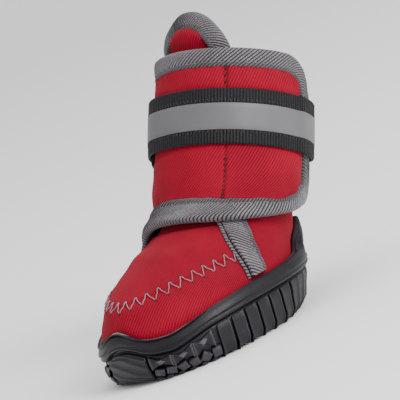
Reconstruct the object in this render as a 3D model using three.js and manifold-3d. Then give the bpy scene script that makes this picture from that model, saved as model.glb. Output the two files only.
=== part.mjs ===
// A left dog bootie: rubber cup sole, hollow neoprene upper with a leaning shaft, tongue,
// wrap-over closure flap, folded edge bindings and a webbing strap.
// Millimetres, +Z up, toe towards -Y, the flap closes on the +X side, origin on the floor under the sole.
import * as THREE from "three";
import { ParametricGeometry } from "three/addons/geometries/ParametricGeometry.js";
import { mergeVertices } from "three/addons/utils/BufferGeometryUtils.js";
import Module from "manifold-3d";

const wasm = await Module();
wasm.setup();

// Driving sizes
const SHAFT_LEAN = 29.4; // degrees, back from upright
const SHAFT_START = 8.5; // y where the shaft's axis meets the floor
const SHAFT_RADIUS = 22.8; // outside of the neoprene wall
const SHAFT_TOP = 94.3; // along the leaning axis
const SHAFT_MID = 70;
const SHAFT_LOW = 50;
const WALL = 2.8; // neoprene
const GAP = 0.35; // between pieces that meet
const SOLE_HALF_WIDTH = 32;
const SOLE_FRONT = 43; // centre to toe
const SOLE_BACK = 44; // centre to heel
const SOLE_SQUARENESS = 2.35; // exponent of the plan outline
const FLOOR_TOP = 6; // inside floor of the rubber cup
const LIFT = 1.2; // the form is raised by this, so that the lugs stand on the floor
const TREAD_BASE = 1.3; // underside of the cup between the lugs
const INSOLE_THICKNESS = 2.3;
const THROAT_HALF_ANGLE = 52; // degrees either side of the front
const THROAT_BOTTOM = 6.35; // ring number
const COLLAR_TAPE = 7; // visible width of the tape along the top edges
const STRAP_WIDTH = 20.6;
const STRAP_THICKNESS = 1.2;

const radians = THREE.MathUtils.degToRad;
const smooth = THREE.MathUtils.smoothstep;
const leanSin = Math.sin(radians(SHAFT_LEAN));
const leanCos = Math.cos(radians(SHAFT_LEAN));

// A ring square to the shaft's axis, as front and back points on the centre plane
function shaftRing(station) {
  const y = SHAFT_START + station * leanSin;
  const z = station * leanCos;
  return {
    frontY: y - SHAFT_RADIUS * leanCos,
    frontZ: z + SHAFT_RADIUS * leanSin,
    backY: y + SHAFT_RADIUS * leanCos,
    backZ: z - SHAFT_RADIUS * leanSin,
    half: SHAFT_RADIUS,
    square: 2,
  };
}

// The upper's outer form, one ring per row: its front and back points, half width, squareness
const RINGS = [
  { frontY: -38.2, frontZ: 6.35, backY: 38.4, backZ: 6.35, half: 27.4, square: 2.3 },
  { frontY: -39.2, frontZ: 12, backY: 40.4, backZ: 12, half: 28.4, square: 2.25 },
  { frontY: -38.9, frontZ: 17.8, backY: 42.1, backZ: 18, half: 28.2, square: 2.12 },
  { frontY: -34.5, frontZ: 24.7, backY: 43.5, backZ: 20, half: 26.9, square: 2.05 },
  { frontY: -26, frontZ: 30.4, backY: 44.7, backZ: 21.6, half: 25.6, square: 2.1 },
  { frontY: -15, frontZ: 35.4, backY: 45.9, backZ: 23.2, half: 24.4, square: 2.15 },
  { frontY: -4.3, frontZ: 39, backY: 46.9, backZ: 25, half: 23.4, square: 2.1 },
  { frontY: 4.8, frontZ: 43.5, backY: 48.5, backZ: 28, half: 22.8, square: 2.05 },
  shaftRing(SHAFT_LOW),
  shaftRing(SHAFT_MID),
  shaftRing(SHAFT_TOP),
];
const KEYS = ["frontY", "frontZ", "backY", "backZ", "half", "square"];
const LAST = RINGS.length - 1;

// Ring number for a station along the shaft, above its lowest round ring
function ringAt(station) {
  return station < SHAFT_MID
    ? LAST - 2 + (station - SHAFT_LOW) / (SHAFT_MID - SHAFT_LOW)
    : LAST - 1 + (station - SHAFT_MID) / (SHAFT_TOP - SHAFT_MID);
}

// Smooth values between rings, straight on past the ends
function ringValues(t) {
  const i = Math.min(Math.max(Math.floor(t), 0), LAST - 1);
  const u = t - i;
  const out = {};
  for (const key of KEYS) {
    const a = RINGS[i][key];
    const b = RINGS[i + 1][key];
    if (t < 0 || t > LAST) {
      out[key] = a + u * (b - a);
      continue;
    }
    const before = i > 0 ? (b - RINGS[i - 1][key]) / 2 : b - a;
    const after = i < LAST - 1 ? (RINGS[i + 2][key] - a) / 2 : b - a;
    const u2 = u * u;
    const u3 = u2 * u;
    out[key] =
      (2 * u3 - 3 * u2 + 1) * a +
      (u3 - 2 * u2 + u) * before +
      (3 * u2 - 2 * u3) * b +
      (u3 - u2) * after;
  }
  return out;
}

const signedPower = (value, power) => Math.sign(value) * Math.abs(value) ** power;

// A point of the form: ring number and angle in degrees from the front towards +X
function formPoint(t, angle) {
  const ring = ringValues(t);
  const power = 2 / ring.square;
  const side = signedPower(Math.sin(radians(angle)), power);
  const ahead = signedPower(Math.cos(radians(angle)), power);
  return new THREE.Vector3(
    ring.half * side,
    (ring.frontY + ring.backY) / 2 + (ahead * (ring.frontY - ring.backY)) / 2,
    (ring.frontZ + ring.backZ) / 2 + (ahead * (ring.frontZ - ring.backZ)) / 2,
  );
}

function formSlopes(t, angle) {
  const low = Math.max(t - 0.02, 0);
  const around = formPoint(t, angle + 0.8).sub(formPoint(t, angle - 0.8)).divideScalar(1.6);
  const up = formPoint(t + 0.02, angle).sub(formPoint(low, angle)).divideScalar(t + 0.02 - low);
  return { around, up, normal: around.clone().cross(up).normalize() };
}

// The same point moved off the form, along its outward normal
function offPoint(t, angle, off) {
  return formPoint(t, angle).addScaledVector(formSlopes(t, angle).normal, off);
}

// Moves a place on the form by a short distance along a tangent direction
function slide(place, direction, distance) {
  const { around, up } = formSlopes(place.t, place.angle);
  const aa = around.dot(around);
  const au = around.dot(up);
  const uu = up.dot(up);
  const ad = around.dot(direction) * distance;
  const ud = up.dot(direction) * distance;
  const det = aa * uu - au * au;
  return {
    angle: place.angle + (uu * ad - au * ud) / det,
    t: place.t + (aa * ud - au * ad) / det,
  };
}

// Values eased between the rows of a short table
function tableValue(rows, at, key) {
  if (at <= rows[0].at) return rows[0][key];
  for (let i = 1; i < rows.length; i++) {
    if (at <= rows[i].at) {
      const u = (at - rows[i - 1].at) / (rows[i].at - rows[i - 1].at);
      return rows[i - 1][key] + (rows[i][key] - rows[i - 1][key]) * u * u * (3 - 2 * u);
    }
  }
  return rows[rows.length - 1][key];
}

// Joins a geometry's shared corners, drops its empty triangles and makes a solid facing out
function solidFrom(geometry) {
  geometry.deleteAttribute("normal");
  geometry.deleteAttribute("uv");
  const welded = mergeVertices(geometry, 1e-4);
  const corners = [];
  for (let i = 0; i < welded.index.count; i += 3) {
    const [a, b, c] = [0, 1, 2].map((k) => welded.index.getX(i + k));
    if (a !== b && b !== c && c !== a) corners.push(a, b, c);
  }
  const build = (triVerts) =>
    new wasm.Manifold(
      new wasm.Mesh({
        numProp: 3,
        vertProperties: new Float32Array(welded.attributes.position.array),
        triVerts: new Uint32Array(triVerts),
      }),
    );
  const solid = build(corners);
  return solid.volume() > 0 ? solid : build(corners.reverse());
}

function addPiece(group, name, solid, material) {
  const made = solid.translate([0, 0, LIFT]).getMesh();
  const geometry = new THREE.BufferGeometry();
  geometry.setAttribute("position", new THREE.BufferAttribute(made.vertProperties, 3));
  geometry.setIndex(new THREE.BufferAttribute(made.triVerts, 1));
  geometry.computeVertexNormals();
  const mesh = new THREE.Mesh(geometry, material);
  mesh.name = name;
  group.add(mesh);
  return mesh;
}

// A closed skin: loops of points, each closed round, joined in order
function skin(loops, closed = false) {
  const rows = closed ? [...loops, loops[0]] : loops;
  const around = loops[0].length;
  return new ParametricGeometry(
    (u, v, target) => {
      const row = rows[Math.round(v * (rows.length - 1))];
      target.copy(row[Math.round(u * around) % around]);
    },
    around,
    rows.length - 1,
  );
}

// A strip of material lying on the form: places across its width give the outer and inner faces
function stripLoop(places, outer, inner) {
  const top = places.map((p, i) => offPoint(p.t, p.angle, outer(i, p)));
  const under = places.map((p, i) => offPoint(p.t, p.angle, inner(i, p)));
  return [...top, ...under.reverse()];
}

// The loop that closes a strip's end: both faces meet halfway
function stripEnd(loop) {
  const n = loop.length;
  return loop.map((point, i) => point.clone().lerp(loop[n - 1 - i], 0.5));
}

function panelSolid(columns, outer, inner) {
  const loops = columns.map((places) => stripLoop(places, outer, inner));
  return solidFrom(skin([stripEnd(loops[0]), ...loops, stripEnd(loops[loops.length - 1])]));
}

// A tape laid along a path on the form. Its section runs from the path across to one side.
const TAPE_SECTION = [
  { side: 0, rise: 0.2 },
  { side: 0, rise: 0.72 },
  { side: 0.12, rise: 0.97 },
  { side: 0.5, rise: 1 },
  { side: 0.93, rise: 0.96 },
  { side: 1, rise: 0.75 },
  { side: 1, rise: 0.1 },
  { side: 0.5, rise: 0 },
];
const WEB_SECTION = [
  { side: 0, rise: 0.15 },
  { side: 0, rise: 0.85 },
  { side: 0.04, rise: 1 },
  { side: 0.5, rise: 1 },
  { side: 0.96, rise: 1 },
  { side: 1, rise: 0.85 },
  { side: 1, rise: 0.15 },
  { side: 0.5, rise: 0 },
];

// The tangent direction across a path, to its left seen from outside. Low on the shoe it
// turns level, so that a tape's end lies along the rubber's edge.
function acrossPath(path, k) {
  const before = path[Math.max(k - 1, 0)];
  const after = path[Math.min(k + 1, path.length - 1)];
  const along = formPoint(after.t, after.angle).sub(formPoint(before.t, before.angle));
  const { around, normal } = formSlopes(path[k].t, path[k].angle);
  const square = normal.clone().cross(along).normalize();
  const level = around.normalize().multiplyScalar(Math.sign(around.dot(square)));
  const across = square.clone().lerp(level, smooth(6.8 - path[k].t, 0, 4)).normalize();
  return across.divideScalar(across.dot(square));
}

// A path moved sideways by a distance
function besidePath(path, distance) {
  return path.map((place, k) => {
    const across = acrossPath(path, k);
    const half = distance(place) / 2;
    return slide(slide(place, across, half), across, half);
  });
}

function tapeSolid(path, width, offs, section = TAPE_SECTION) {
  const lines = section.map(({ side }) => besidePath(path, (place) => side * width(place)));
  const loops = path.map((place, k) => {
    const { low, high } = offs(place);
    return section.map(({ rise }, i) => {
      const { t, angle } = lines[i][k];
      return offPoint(t, angle, low + rise * (high - low));
    });
  });
  const middle = (loop) => {
    const centre = loop.reduce((sum, p) => sum.add(p), new THREE.Vector3());
    centre.divideScalar(loop.length);
    return loop.map(() => centre);
  };
  return solidFrom(skin([middle(loops[0]), ...loops, middle(loops[loops.length - 1])]));
}

// Even steps along a smooth line through table rows of places
function pathThrough(rows, steps) {
  const scale = 0.42; // one degree is about this many millimetres, one ring about 20
  const curve = new THREE.SplineCurve(
    rows.map(([t, angle]) => new THREE.Vector2(angle * scale, t * 20)),
  );
  return curve.getSpacedPoints(steps).map((p) => ({ t: p.y / 20, angle: p.x / scale }));
}

// ---------------------------------------------------------------- outsole

// Angle from the toe; ring reached by the rubber's top edge; top and foot of the round rim
const RIM = [
  { at: 0, edge: 2.1, top: 18, foot: 12.6 },
  { at: 8, edge: 1.9, top: 16.9, foot: 11.6 },
  { at: 16, edge: 1.55, top: 14.8, foot: 9.6 },
  { at: 24, edge: 1.33, top: 13.5, foot: 8.4 },
  { at: 35, edge: 1.25, top: 13, foot: 8.1 },
  { at: 48, edge: 1.43, top: 14, foot: 9.4 },
  { at: 65, edge: 1.74, top: 16, foot: 11.2 },
  { at: 90, edge: 1.93, top: 17.3, foot: 12.1 },
  { at: 111, edge: 1.89, top: 17.2, foot: 12 },
  { at: 129, edge: 1.97, top: 17.4, foot: 11.9 },
  { at: 134.5, edge: 2.35, top: 17.6, foot: 11.8 },
  { at: 138, edge: 3.4, top: 17.8, foot: 11.8 },
  { at: 141, edge: 5, top: 18, foot: 11.8 },
  { at: 145, edge: 6.4, top: 18, foot: 11.8 },
  { at: 155, edge: 6.4, top: 18.1, foot: 11.8 },
  { at: 180, edge: 6.25, top: 18.2, foot: 12 },
];
const ROUND = [0, 6, 12, 18, 24, 30, 36, 43, 50, 58, 66, 75, 85, 97, 109, 118, 125, 131,
  134, 136.5, 139, 142, 145, 151, 160, 170, 180];
const ANGLES = [...ROUND, ...ROUND.slice(1, -1).reverse().map((angle) => 360 - angle)];
const fold = (angle) => Math.abs(((angle + 180) % 360) - 180);

// The sole's plan outline, taken in by inset, a little more at the toe and low round the heel
function solePoint(angle, given, z) {
  const power = 2 / SOLE_SQUARENESS;
  const heel = smooth(fold(angle), 95, 125) * (-0.5 + 2.9 * (1 - smooth(z, 1, 15)));
  const inset = given + heel + 1.3 * (1 - smooth(fold(angle), 45, 80));
  const reach = Math.cos(radians(angle)) > 0 ? SOLE_FRONT : SOLE_BACK;
  return new THREE.Vector3(
    (SOLE_HALF_WIDTH - inset) * signedPower(Math.sin(radians(angle)), power),
    -(reach - inset) * signedPower(Math.cos(radians(angle)), power),
    z,
  );
}

// The tread leaves the floor in front of the ball and behind the heel
function treadRise(y) {
  if (y < -30) return 2.4 * ((-30 - y) / 13) ** 2;
  if (y > 22) return 5.2 * ((y - 22) / 21) ** 2;
  return 0;
}
const raised = (point) => {
  point.z += treadRise(point.y) * (1 - Math.min((point.z + LIFT) / 11, 1));
  return point;
};

const cupLoops = ANGLES.map((angle) => {
  const rim = (key) => tableValue(RIM, fold(angle), key);
  const edge = rim("edge");
  const band = Math.min(edge, 1.95);
  const wall = (t, off) => offPoint(t, angle, off);
  const foot = rim("foot");
  const floor = wall(0, GAP);
  const high = edge - band; // how far the heel cup stands above the rim
  const cup = smooth(high, 0.3, 3);
  return [
    new THREE.Vector3(0, 0, FLOOR_TOP),
    floor.setZ(FLOOR_TOP),
    wall(band * 0.55, GAP + 0.1),
    wall(band, GAP + 0.1),
    wall(band + high * 0.5, GAP + 0.1),
    wall(edge, GAP + 0.1),
    wall(edge + 0.02, GAP + 0.5),
    wall(edge - 0.06, GAP + 1.4 + 0.3 * cup),
    wall(band + high * 0.4 + 0.01, GAP + 1.9 + 2 * cup),
    raised(solePoint(angle, 1.5 * (1 - cup), rim("top") + 0.2)),
    raised(solePoint(angle, 0.3, rim("top") - 1.6)),
    raised(solePoint(angle, 0.45 * cup, (rim("top") + foot) / 2)),
    raised(solePoint(angle, 0.5, foot + 0.5)),
    raised(solePoint(angle, 1.7, foot - 0.2)),
    raised(solePoint(angle, 1.9, foot - 2.6)),
    raised(solePoint(angle, 2.6, 3.3)),
    raised(solePoint(angle, 4.2, TREAD_BASE)),
    new THREE.Vector3(0, 0, TREAD_BASE),
  ];
});
const cup = solidFrom(skin(cupLoops.map((loop) => [...loop]), true));

// The full tread before it is cut into lugs
const treadLoops = ANGLES.filter((angle, i) => i % 2 === 0).map((angle) => {
  const foot = tableValue(RIM, fold(angle), "foot");
  const heel = smooth(fold(angle), 95, 125);
  return [
    new THREE.Vector3(0, 0, 3),
    solePoint(angle, 7, 3),
    solePoint(angle, 2.9, 4.6),
    solePoint(angle, 2.7 - 0.9 * (1 - smooth(fold(angle), 8, 30)), foot - 1.0),
    solePoint(angle, 1.0, foot - 1.3),
    raised(solePoint(angle, 0.9, foot - 4)),
    raised(solePoint(angle, 1.5 + 0.8 * heel, 1.4)),
    raised(solePoint(angle, 2.9 + heel, 0.35 - LIFT)),
    raised(solePoint(angle, 4.0 + heel, -LIFT)),
    raised(solePoint(angle, 14, -LIFT)),
    new THREE.Vector3(0, 0, -LIFT),
  ];
});
const tread = solidFrom(skin(treadLoops, true));

// One box per lug row: middle, size and turn about the upright axis
const lugBoxes = [];
const addLug = (x, y, wide, deep, turn) => lugBoxes.push({ x, y, wide, deep, turn });
for (let y = -18; y < 20; y += 6.2) addLug(0, y, 80, 5.1, 0); // ribs from the ball to the heel
for (const turn of [-70, -42, -14, 14, 42, 70]) {
  const reach = radians(turn); // fanned round the heel
  addLug(20 * Math.sin(reach), 23 + 16 * Math.cos(reach), 5.2, 16, -turn);
}
for (const side of [-1, 1]) {
  addLug(side * 25.5, -25.4, 16, 4.6, side * -16); // wedges beside the toe pad
  addLug(side * 22, -31.6, 15, 4.8, side * 30);
  addLug(side * 17.5, -37.2, 5.6, 14, side * 22);
}
addLug(0, -34, 25.5, 23, 0); // toe pad

const lugs = lugBoxes
  .map(({ x, y, wide, deep, turn }) => {
    const box = new THREE.BoxGeometry(wide, deep, 30);
    box.rotateZ(radians(turn));
    box.translate(x, y, 5);
    return solidFrom(box);
  })
  .reduce((sum, box) => sum.add(box));
const outsole = cup.add(tread.intersect(lugs));

// ---------------------------------------------------------------- insole

const insoleTop = FLOOR_TOP + GAP + INSOLE_THICKNESS;
const insoleLoops = ANGLES.filter((angle, i) => i % 2 === 0).map((angle) => {
  const rim = offPoint(0.15, angle, -WALL - GAP);
  return [
    new THREE.Vector3(0, 0, insoleTop),
    rim.clone().setZ(insoleTop),
    rim.clone().setZ(FLOOR_TOP + GAP),
    new THREE.Vector3(0, 0, FLOOR_TOP + GAP),
  ];
});
const insole = solidFrom(skin(insoleLoops, true));

// ---------------------------------------------------------------- upper

const wallTop = ringAt(SHAFT_TOP + 0.7 - COLLAR_TAPE - GAP);
const upperRows = [0, 0.7, 1.4, 2.1, 2.8, 3.5, 4.2, 4.9, 5.6, 6.3, 7, 7.7, 8.6, wallTop];
const upperLoops = Array.from({ length: 42 }, (_, k) => {
  const angle = (k * 360) / 42;
  const outside = upperRows.map((t) => offPoint(t, angle, 0));
  const inside = upperRows.map((t) => offPoint(t, angle, -WALL)).reverse();
  outside[0].z = inside[inside.length - 1].z = FLOOR_TOP + GAP;
  return [...outside, ...inside];
});

// A block through the wall, from side to side of the throat
function throatBlock(halfAngle, bottom) {
  const across = Array.from({ length: 15 }, (_, i) => -halfAngle + (i * halfAngle) / 7);
  const rows = [bottom, 6.6, 6.9, 7.25, 7.7, 8.3, 10.6];
  return panelSolid(
    rows.map((t) => across.map((angle) => ({ t, angle }))),
    () => 4,
    () => -7,
  );
}
const upper = solidFrom(skin(upperLoops, true)).subtract(
  throatBlock(THROAT_HALF_ANGLE, THROAT_BOTTOM),
);

// ---------------------------------------------------------------- tongue

const TONGUE_HALF_ANGLE = 50.6;
const TONGUE_SINK = 0.5; // how far it lies below the wall's outside
const TONGUE_NECK = 31.6; // degrees, half width of the panel between its tape's feet
const TONGUE_FOOT = SHAFT_TOP - 11.6; // station of the tape's ends

// Its tape's outer edge on the left side: station along the shaft and angle
const TONGUE_EDGE = [
  [TONGUE_FOOT, 50.6], [88, 50.6], [92.4, 49.6], [96.3, 46.8], [99.9, 42], [103.2, 36], [106.7, 27],
  [109.2, 16.7], [110.3, 6],
];
const tongueTapePath = pathThrough(
  [...TONGUE_EDGE, ...TONGUE_EDGE.map(([station, angle]) => [station, -angle]).reverse()].map(
    ([station, angle]) => [ringAt(station), angle],
  ),
  27,
);
// Its free top bows outwards a little
const tongueBow = (t) => 1.6 * smooth(t, 10.06, 10.24) * (1 - smooth(t, 10.36, 10.64));
const tongueBinding = tapeSolid(
  tongueTapePath,
  () => COLLAR_TAPE,
  ({ t }) => ({
    low: -TONGUE_SINK - WALL - 0.6 + tongueBow(t),
    high: -TONGUE_SINK + 0.6 + tongueBow(t),
  }),
);

// The highest place where a line crosses an angle
function crossingAt(line, angle) {
  let top = 0;
  for (let k = 1; k < line.length; k++) {
    const a = line[k - 1];
    const b = line[k];
    if ((a.angle - angle) * (b.angle - angle) > 0 || a.angle === b.angle) continue;
    top = Math.max(top, a.t + ((b.t - a.t) * (angle - a.angle)) / (b.angle - a.angle));
  }
  return top;
}
const tongueInside = besidePath(tongueTapePath, () => COLLAR_TAPE + GAP + 0.1);
const tongueAngles = [50.6, 44, 38, 33.2, 32.1, 31.4, 29, 25, 20, 13, 6.5];
const tongueColumns = [
  ...tongueAngles.map((angle) => -angle),
  0,
  ...[...tongueAngles].reverse(),
].map((angle) => {
  const top =
    Math.abs(angle) < TONGUE_NECK
      ? crossingAt(tongueInside, angle)
      : ringAt(TONGUE_FOOT - 0.6);
  return [0, 0.14, 0.3, 0.5, 0.72, 0.87, 1].map((u) => ({
    t: THROAT_BOTTOM + 0.05 + (top - THROAT_BOTTOM - 0.05) * u,
    angle,
  }));
});
const tongue = panelSolid(
  tongueColumns,
  (i, { t }) => tongueBow(t) - TONGUE_SINK,
  (i, { t }) => tongueBow(t) - TONGUE_SINK - WALL,
);

// ---------------------------------------------------------------- collar tape

const collarPath = [];
for (let angle = 360 - THROAT_HALF_ANGLE; angle >= THROAT_HALF_ANGLE - 0.1; angle -= 8)
  collarPath.push({ t: ringAt(SHAFT_TOP + 0.7), angle });
const collarBinding = tapeSolid(
  collarPath,
  () => COLLAR_TAPE,
  () => ({ low: -WALL - 0.5, high: 0.55 }),
);

// ---------------------------------------------------------------- flap

const FLAP_LIFT = 1.6; // over the shaft's wall
const flapLow = (angle) => GAP + (FLAP_LIFT - GAP) * smooth(angle, -100, -62);
const flapThick = (angle) => 0.8 + (WALL - 0.8) * smooth(angle, -116, -98);

// Its outer edge, from the sewn end over the top, round the free end and back along the
// lower edge, then down the front of the right quarter to the sole
const FLAP_OUTLINE = [
  [10.03, -116], [10.03, -95], [10.03, -60], [10.03, -20], [10.03, 20], [10.03, 60], [10.03, 88],
  [10.0, 101], [9.88, 113], [9.66, 122.5], [9.33, 128.5], [8.95, 130.5], [8.5, 130.5], [7.95, 129.5],
  [7.35, 124], [6.88, 115], [6.55, 104], [6.34, 88], [6.24, 65], [6.3, 42], [6.44, 20], [6.5, -2],
  [6.44, -20], [6.22, -37], [5.86, -51], [5.4, -61], [4.9, -69.5], [4.33, -76.5], [3.72, -82.3],
  [2.9, -87.6], [2.16, -89.7],
];
const flapPath = pathThrough(FLAP_OUTLINE, 72).reverse();
// Width of its tape along the lower edge
const FLAP_TAPE = [
  { at: -90, wide: 7.2 },
  { at: -76, wide: 8 },
  { at: -58, wide: 8.6 },
  { at: -40, wide: 9 },
  { at: -20, wide: 10.5 },
  { at: 0, wide: 10.8 },
  { at: 20, wide: 10.6 },
  { at: 40, wide: 9.9 },
  { at: 60, wide: 7.9 },
  { at: 80, wide: 6.1 },
  { at: 100, wide: 4.8 },
  { at: 115, wide: 5 },
  { at: 124, wide: 5.9 },
];
const flapTapeWidth = ({ t, angle }) => {
  const high = COLLAR_TAPE * (1 - 0.16 * smooth(angle, 100, 124));
  return high + (tableValue(FLAP_TAPE, angle, "wide") - high) * smooth(8.2 - t, 0, 1.4);
};

// The panel fills the outline inside its tape
const flapInside = besidePath(flapPath, (place) => flapTapeWidth(place) + GAP + 0.15);
const edgeAt = (line, angle) => {
  const k = line.findIndex((place) => place.angle > angle);
  if (k < 1) return k < 0 ? line[line.length - 1].t : line[0].t;
  const u = (angle - line[k - 1].angle) / (line[k].angle - line[k - 1].angle);
  return line[k - 1].t + u * (line[k].t - line[k - 1].t);
};
const byAngle = (a, b) => a.angle - b.angle;
const flapUnder = flapInside.filter(({ t, angle }) => t < 8.3 && t > 4.1 && angle < 113).sort(byAngle);
const flapOver = flapInside.filter(({ t, angle }) => t > 9.2 && angle < 113).sort(byAngle);
const flapAngles = [-116, -110, -104, -97, -91, -86, -80, -74, -67, -60, -50, -40, -30, -20, -10, 0,
  10, 20, 30, 40, 50, 60, 70, 80, 90, 98, 103, 107, 110, 112];
const flap = panelSolid(
  flapAngles.map((angle) => {
    const low = angle < -91 ? 7.2 - ((angle + 116) / 25) * 2.6 : edgeAt(flapUnder, angle);
    const high = edgeAt(flapOver, angle);
    return [0, 0.1, 0.22, 0.38, 0.56, 0.78, 1].map((u) => ({ t: low + (high - low) * u, angle }));
  }),
  (i, place) => flapLow(place.angle) + flapThick(place.angle),
  (i, place) => flapLow(place.angle),
);
const flapBinding = tapeSolid(
  flapPath,
  flapTapeWidth,
  (place) => {
    if (place.t > 9.6)
      return {
        low: 0.95,
        high: 1.9 + 3.1 * smooth(place.angle, -118, -95),
      };
    const down = smooth(-place.angle, 32, 66); // from the flap to the quarter's edge
    return {
      low: 1.55 - 1.2 * down,
      high: 5.0 - 2.6 * down,
    };
  },
);

// ---------------------------------------------------------------- left quarter's front edge

const quarterPath = pathThrough(
  [[6.95, 40], [6.36, 49.5], [5.7, 59], [4.96, 68.9], [4.33, 76.5], [3.72, 82.3], [2.88, 87.7], [2.16, 89.7]],
  13,
);
const quarterBinding = tapeSolid(
  quarterPath,
  (place) => 8.4 - 1.4 * smooth(6 - place.t, 0, 3.5),
  (place) => ({ low: GAP, high: 2.4 - 1.3 * smooth(place.t, 5.3, 6.2) }),
);

// ---------------------------------------------------------------- strap

// Angle round the shaft; height of the strap's inner face over the form
const STRAP_HEIGHT = [
  { at: -180, low: 0.4 },
  { at: -142, low: 0.4 },
  { at: -122, low: 1.6 },
  { at: -110, low: 2.5 },
  { at: -98, low: 3.6 },
  { at: -80, low: 4.2 },
  { at: -60, low: 4.72 },
  { at: 100, low: 4.72 },
  { at: 109, low: 5.36 },
  { at: 133, low: 5.36 },
  { at: 152, low: 2.4 },
  { at: 168, low: 0.4 },
  { at: 180, low: 0.4 },
];
const STRAP_START = -40; // the under end, going round the back
const STRAP_TURN = 416; // degrees wrapped, so the free end lies over the start
const strapPath = [];
for (let turn = 0; turn <= STRAP_TURN; turn += 8) {
  const angle = STRAP_START - turn;
  const drop = 2.6 * (1 - smooth(turn, 30, 120)); // the under end sits lower
  strapPath.push({ t: ringAt(70.4 + STRAP_WIDTH / 2 - drop), angle, turn });
}
const strap = tapeSolid(
  strapPath,
  () => STRAP_WIDTH,
  (place) => {
    const round = THREE.MathUtils.euclideanModulo(place.angle + 180, 360) - 180;
    const over = (STRAP_THICKNESS + GAP) * smooth(place.turn, 322, 350);
    const low = tableValue(STRAP_HEIGHT, round, "low") + over;
    return { low, high: low + STRAP_THICKNESS };
  },
  WEB_SECTION,
);

// ---------------------------------------------------------------- assembly

const rubber = new THREE.MeshStandardMaterial({ color: 0x2b2a30, roughness: 0.45, metalness: 0 });
const foam = new THREE.MeshStandardMaterial({ color: 0x34343a, roughness: 0.9, metalness: 0 });
const neoprene = new THREE.MeshStandardMaterial({ color: 0xb3202e, roughness: 0.85, metalness: 0 });
const tape = new THREE.MeshStandardMaterial({ color: 0x8a888c, roughness: 0.8, metalness: 0 });
const webbing = new THREE.MeshStandardMaterial({ color: 0x1f2126, roughness: 0.7, metalness: 0 });

const bootie = new THREE.Group();
addPiece(bootie, "outsole", outsole, rubber);
addPiece(bootie, "insole", insole, foam);
addPiece(bootie, "upper", upper, neoprene);
addPiece(bootie, "tongue", tongue, neoprene);
addPiece(bootie, "flap", flap, neoprene);
addPiece(bootie, "tongue_binding", tongueBinding, tape);
addPiece(bootie, "collar_binding", collarBinding, tape);
addPiece(bootie, "flap_binding", flapBinding, tape);
addPiece(bootie, "quarter_binding", quarterBinding, tape);
addPiece(bootie, "strap", strap, webbing);

export default bootie;
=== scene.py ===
import math

import bmesh
import bpy
import numpy as np
from mathutils import Matrix, Vector


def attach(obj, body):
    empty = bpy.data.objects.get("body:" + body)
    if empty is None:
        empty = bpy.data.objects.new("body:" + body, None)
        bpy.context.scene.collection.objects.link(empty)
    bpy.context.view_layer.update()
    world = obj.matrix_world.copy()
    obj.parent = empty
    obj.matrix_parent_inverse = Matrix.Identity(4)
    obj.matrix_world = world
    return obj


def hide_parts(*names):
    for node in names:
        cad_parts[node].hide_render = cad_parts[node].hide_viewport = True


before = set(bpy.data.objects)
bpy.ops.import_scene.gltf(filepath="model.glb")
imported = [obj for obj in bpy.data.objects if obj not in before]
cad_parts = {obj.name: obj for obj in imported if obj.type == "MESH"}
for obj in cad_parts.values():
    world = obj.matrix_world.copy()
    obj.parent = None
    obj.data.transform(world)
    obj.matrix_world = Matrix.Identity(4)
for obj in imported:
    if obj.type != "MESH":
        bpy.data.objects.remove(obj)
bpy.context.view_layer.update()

mm = 0.001
rng = np.random.default_rng(7)

# the boot's own form, in millimetres

shaft = {
    "lean": 29.4,  # degrees back from upright
    "start": 8.5,  # y where its axis meets the floor
    "radius": 22.8,
    "low": 50,
    "mid": 70,
    "top": 94.3,
}
wall = 2.8
gap = 0.35
throatHalf = 52
lift = 1.2  # the form stands this much above the floor, on its lugs
throatBottom = 6.35
leanSin = math.sin(math.radians(shaft["lean"]))
leanCos = math.cos(math.radians(shaft["lean"]))


def shaftRing(station):
    y, z, r = shaft["start"] + station * leanSin, station * leanCos, shaft["radius"]
    return (y - r * leanCos, z + r * leanSin, y + r * leanCos, z - r * leanSin, r, 2)


# front y and z, back y and z, half width, squareness of each ring
rings = np.array([
    (-38.2, 6.35, 38.4, 6.35, 27.4, 2.3),
    (-39.2, 12, 40.4, 12, 28.4, 2.25),
    (-38.9, 17.8, 42.1, 18, 28.2, 2.12),
    (-34.5, 24.7, 43.5, 20, 26.9, 2.05),
    (-26, 30.4, 44.7, 21.6, 25.6, 2.1),
    (-15, 35.4, 45.9, 23.2, 24.4, 2.15),
    (-4.3, 39, 46.9, 25, 23.4, 2.1),
    (4.8, 43.5, 48.5, 28, 22.8, 2.05),
    shaftRing(shaft["low"]),
    shaftRing(shaft["mid"]),
    shaftRing(shaft["top"]),
], dtype=float)
lastRing = len(rings) - 1


def hermite(u, a, b, slopeA, slopeB):
    # a smooth curve from a to b that leaves and arrives with the given slopes
    return ((2 * u**3 - 3 * u**2 + 1) * a + (u**3 - 2 * u**2 + u) * slopeA
            + (3 * u**2 - 2 * u**3) * b + (u**3 - u**2) * slopeB)


def ringAt(station):
    station = np.asarray(station, float)
    lower = lastRing - 2 + (station - shaft["low"]) / (shaft["mid"] - shaft["low"])
    upper = lastRing - 1 + (station - shaft["mid"]) / (shaft["top"] - shaft["mid"])
    return np.where(station < shaft["mid"], lower, upper)


def ringValues(t):
    t = np.asarray(t, float)
    i = np.clip(np.floor(t), 0, lastRing - 1).astype(int)
    u = (t - i)[..., None]
    a, b = rings[i], rings[i + 1]
    before = np.where((i > 0)[..., None], (b - rings[np.maximum(i - 1, 0)]) / 2, b - a)
    nextRing = rings[np.minimum(i + 2, lastRing)]
    after = np.where((i < lastRing - 1)[..., None], (nextRing - a) / 2, b - a)
    outside = ((t < 0) | (t > lastRing))[..., None]
    return np.where(outside, a + u * (b - a), hermite(u, a, b, before, after))


def signedPower(value, power):
    return np.sign(value) * np.abs(value) ** power


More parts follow.
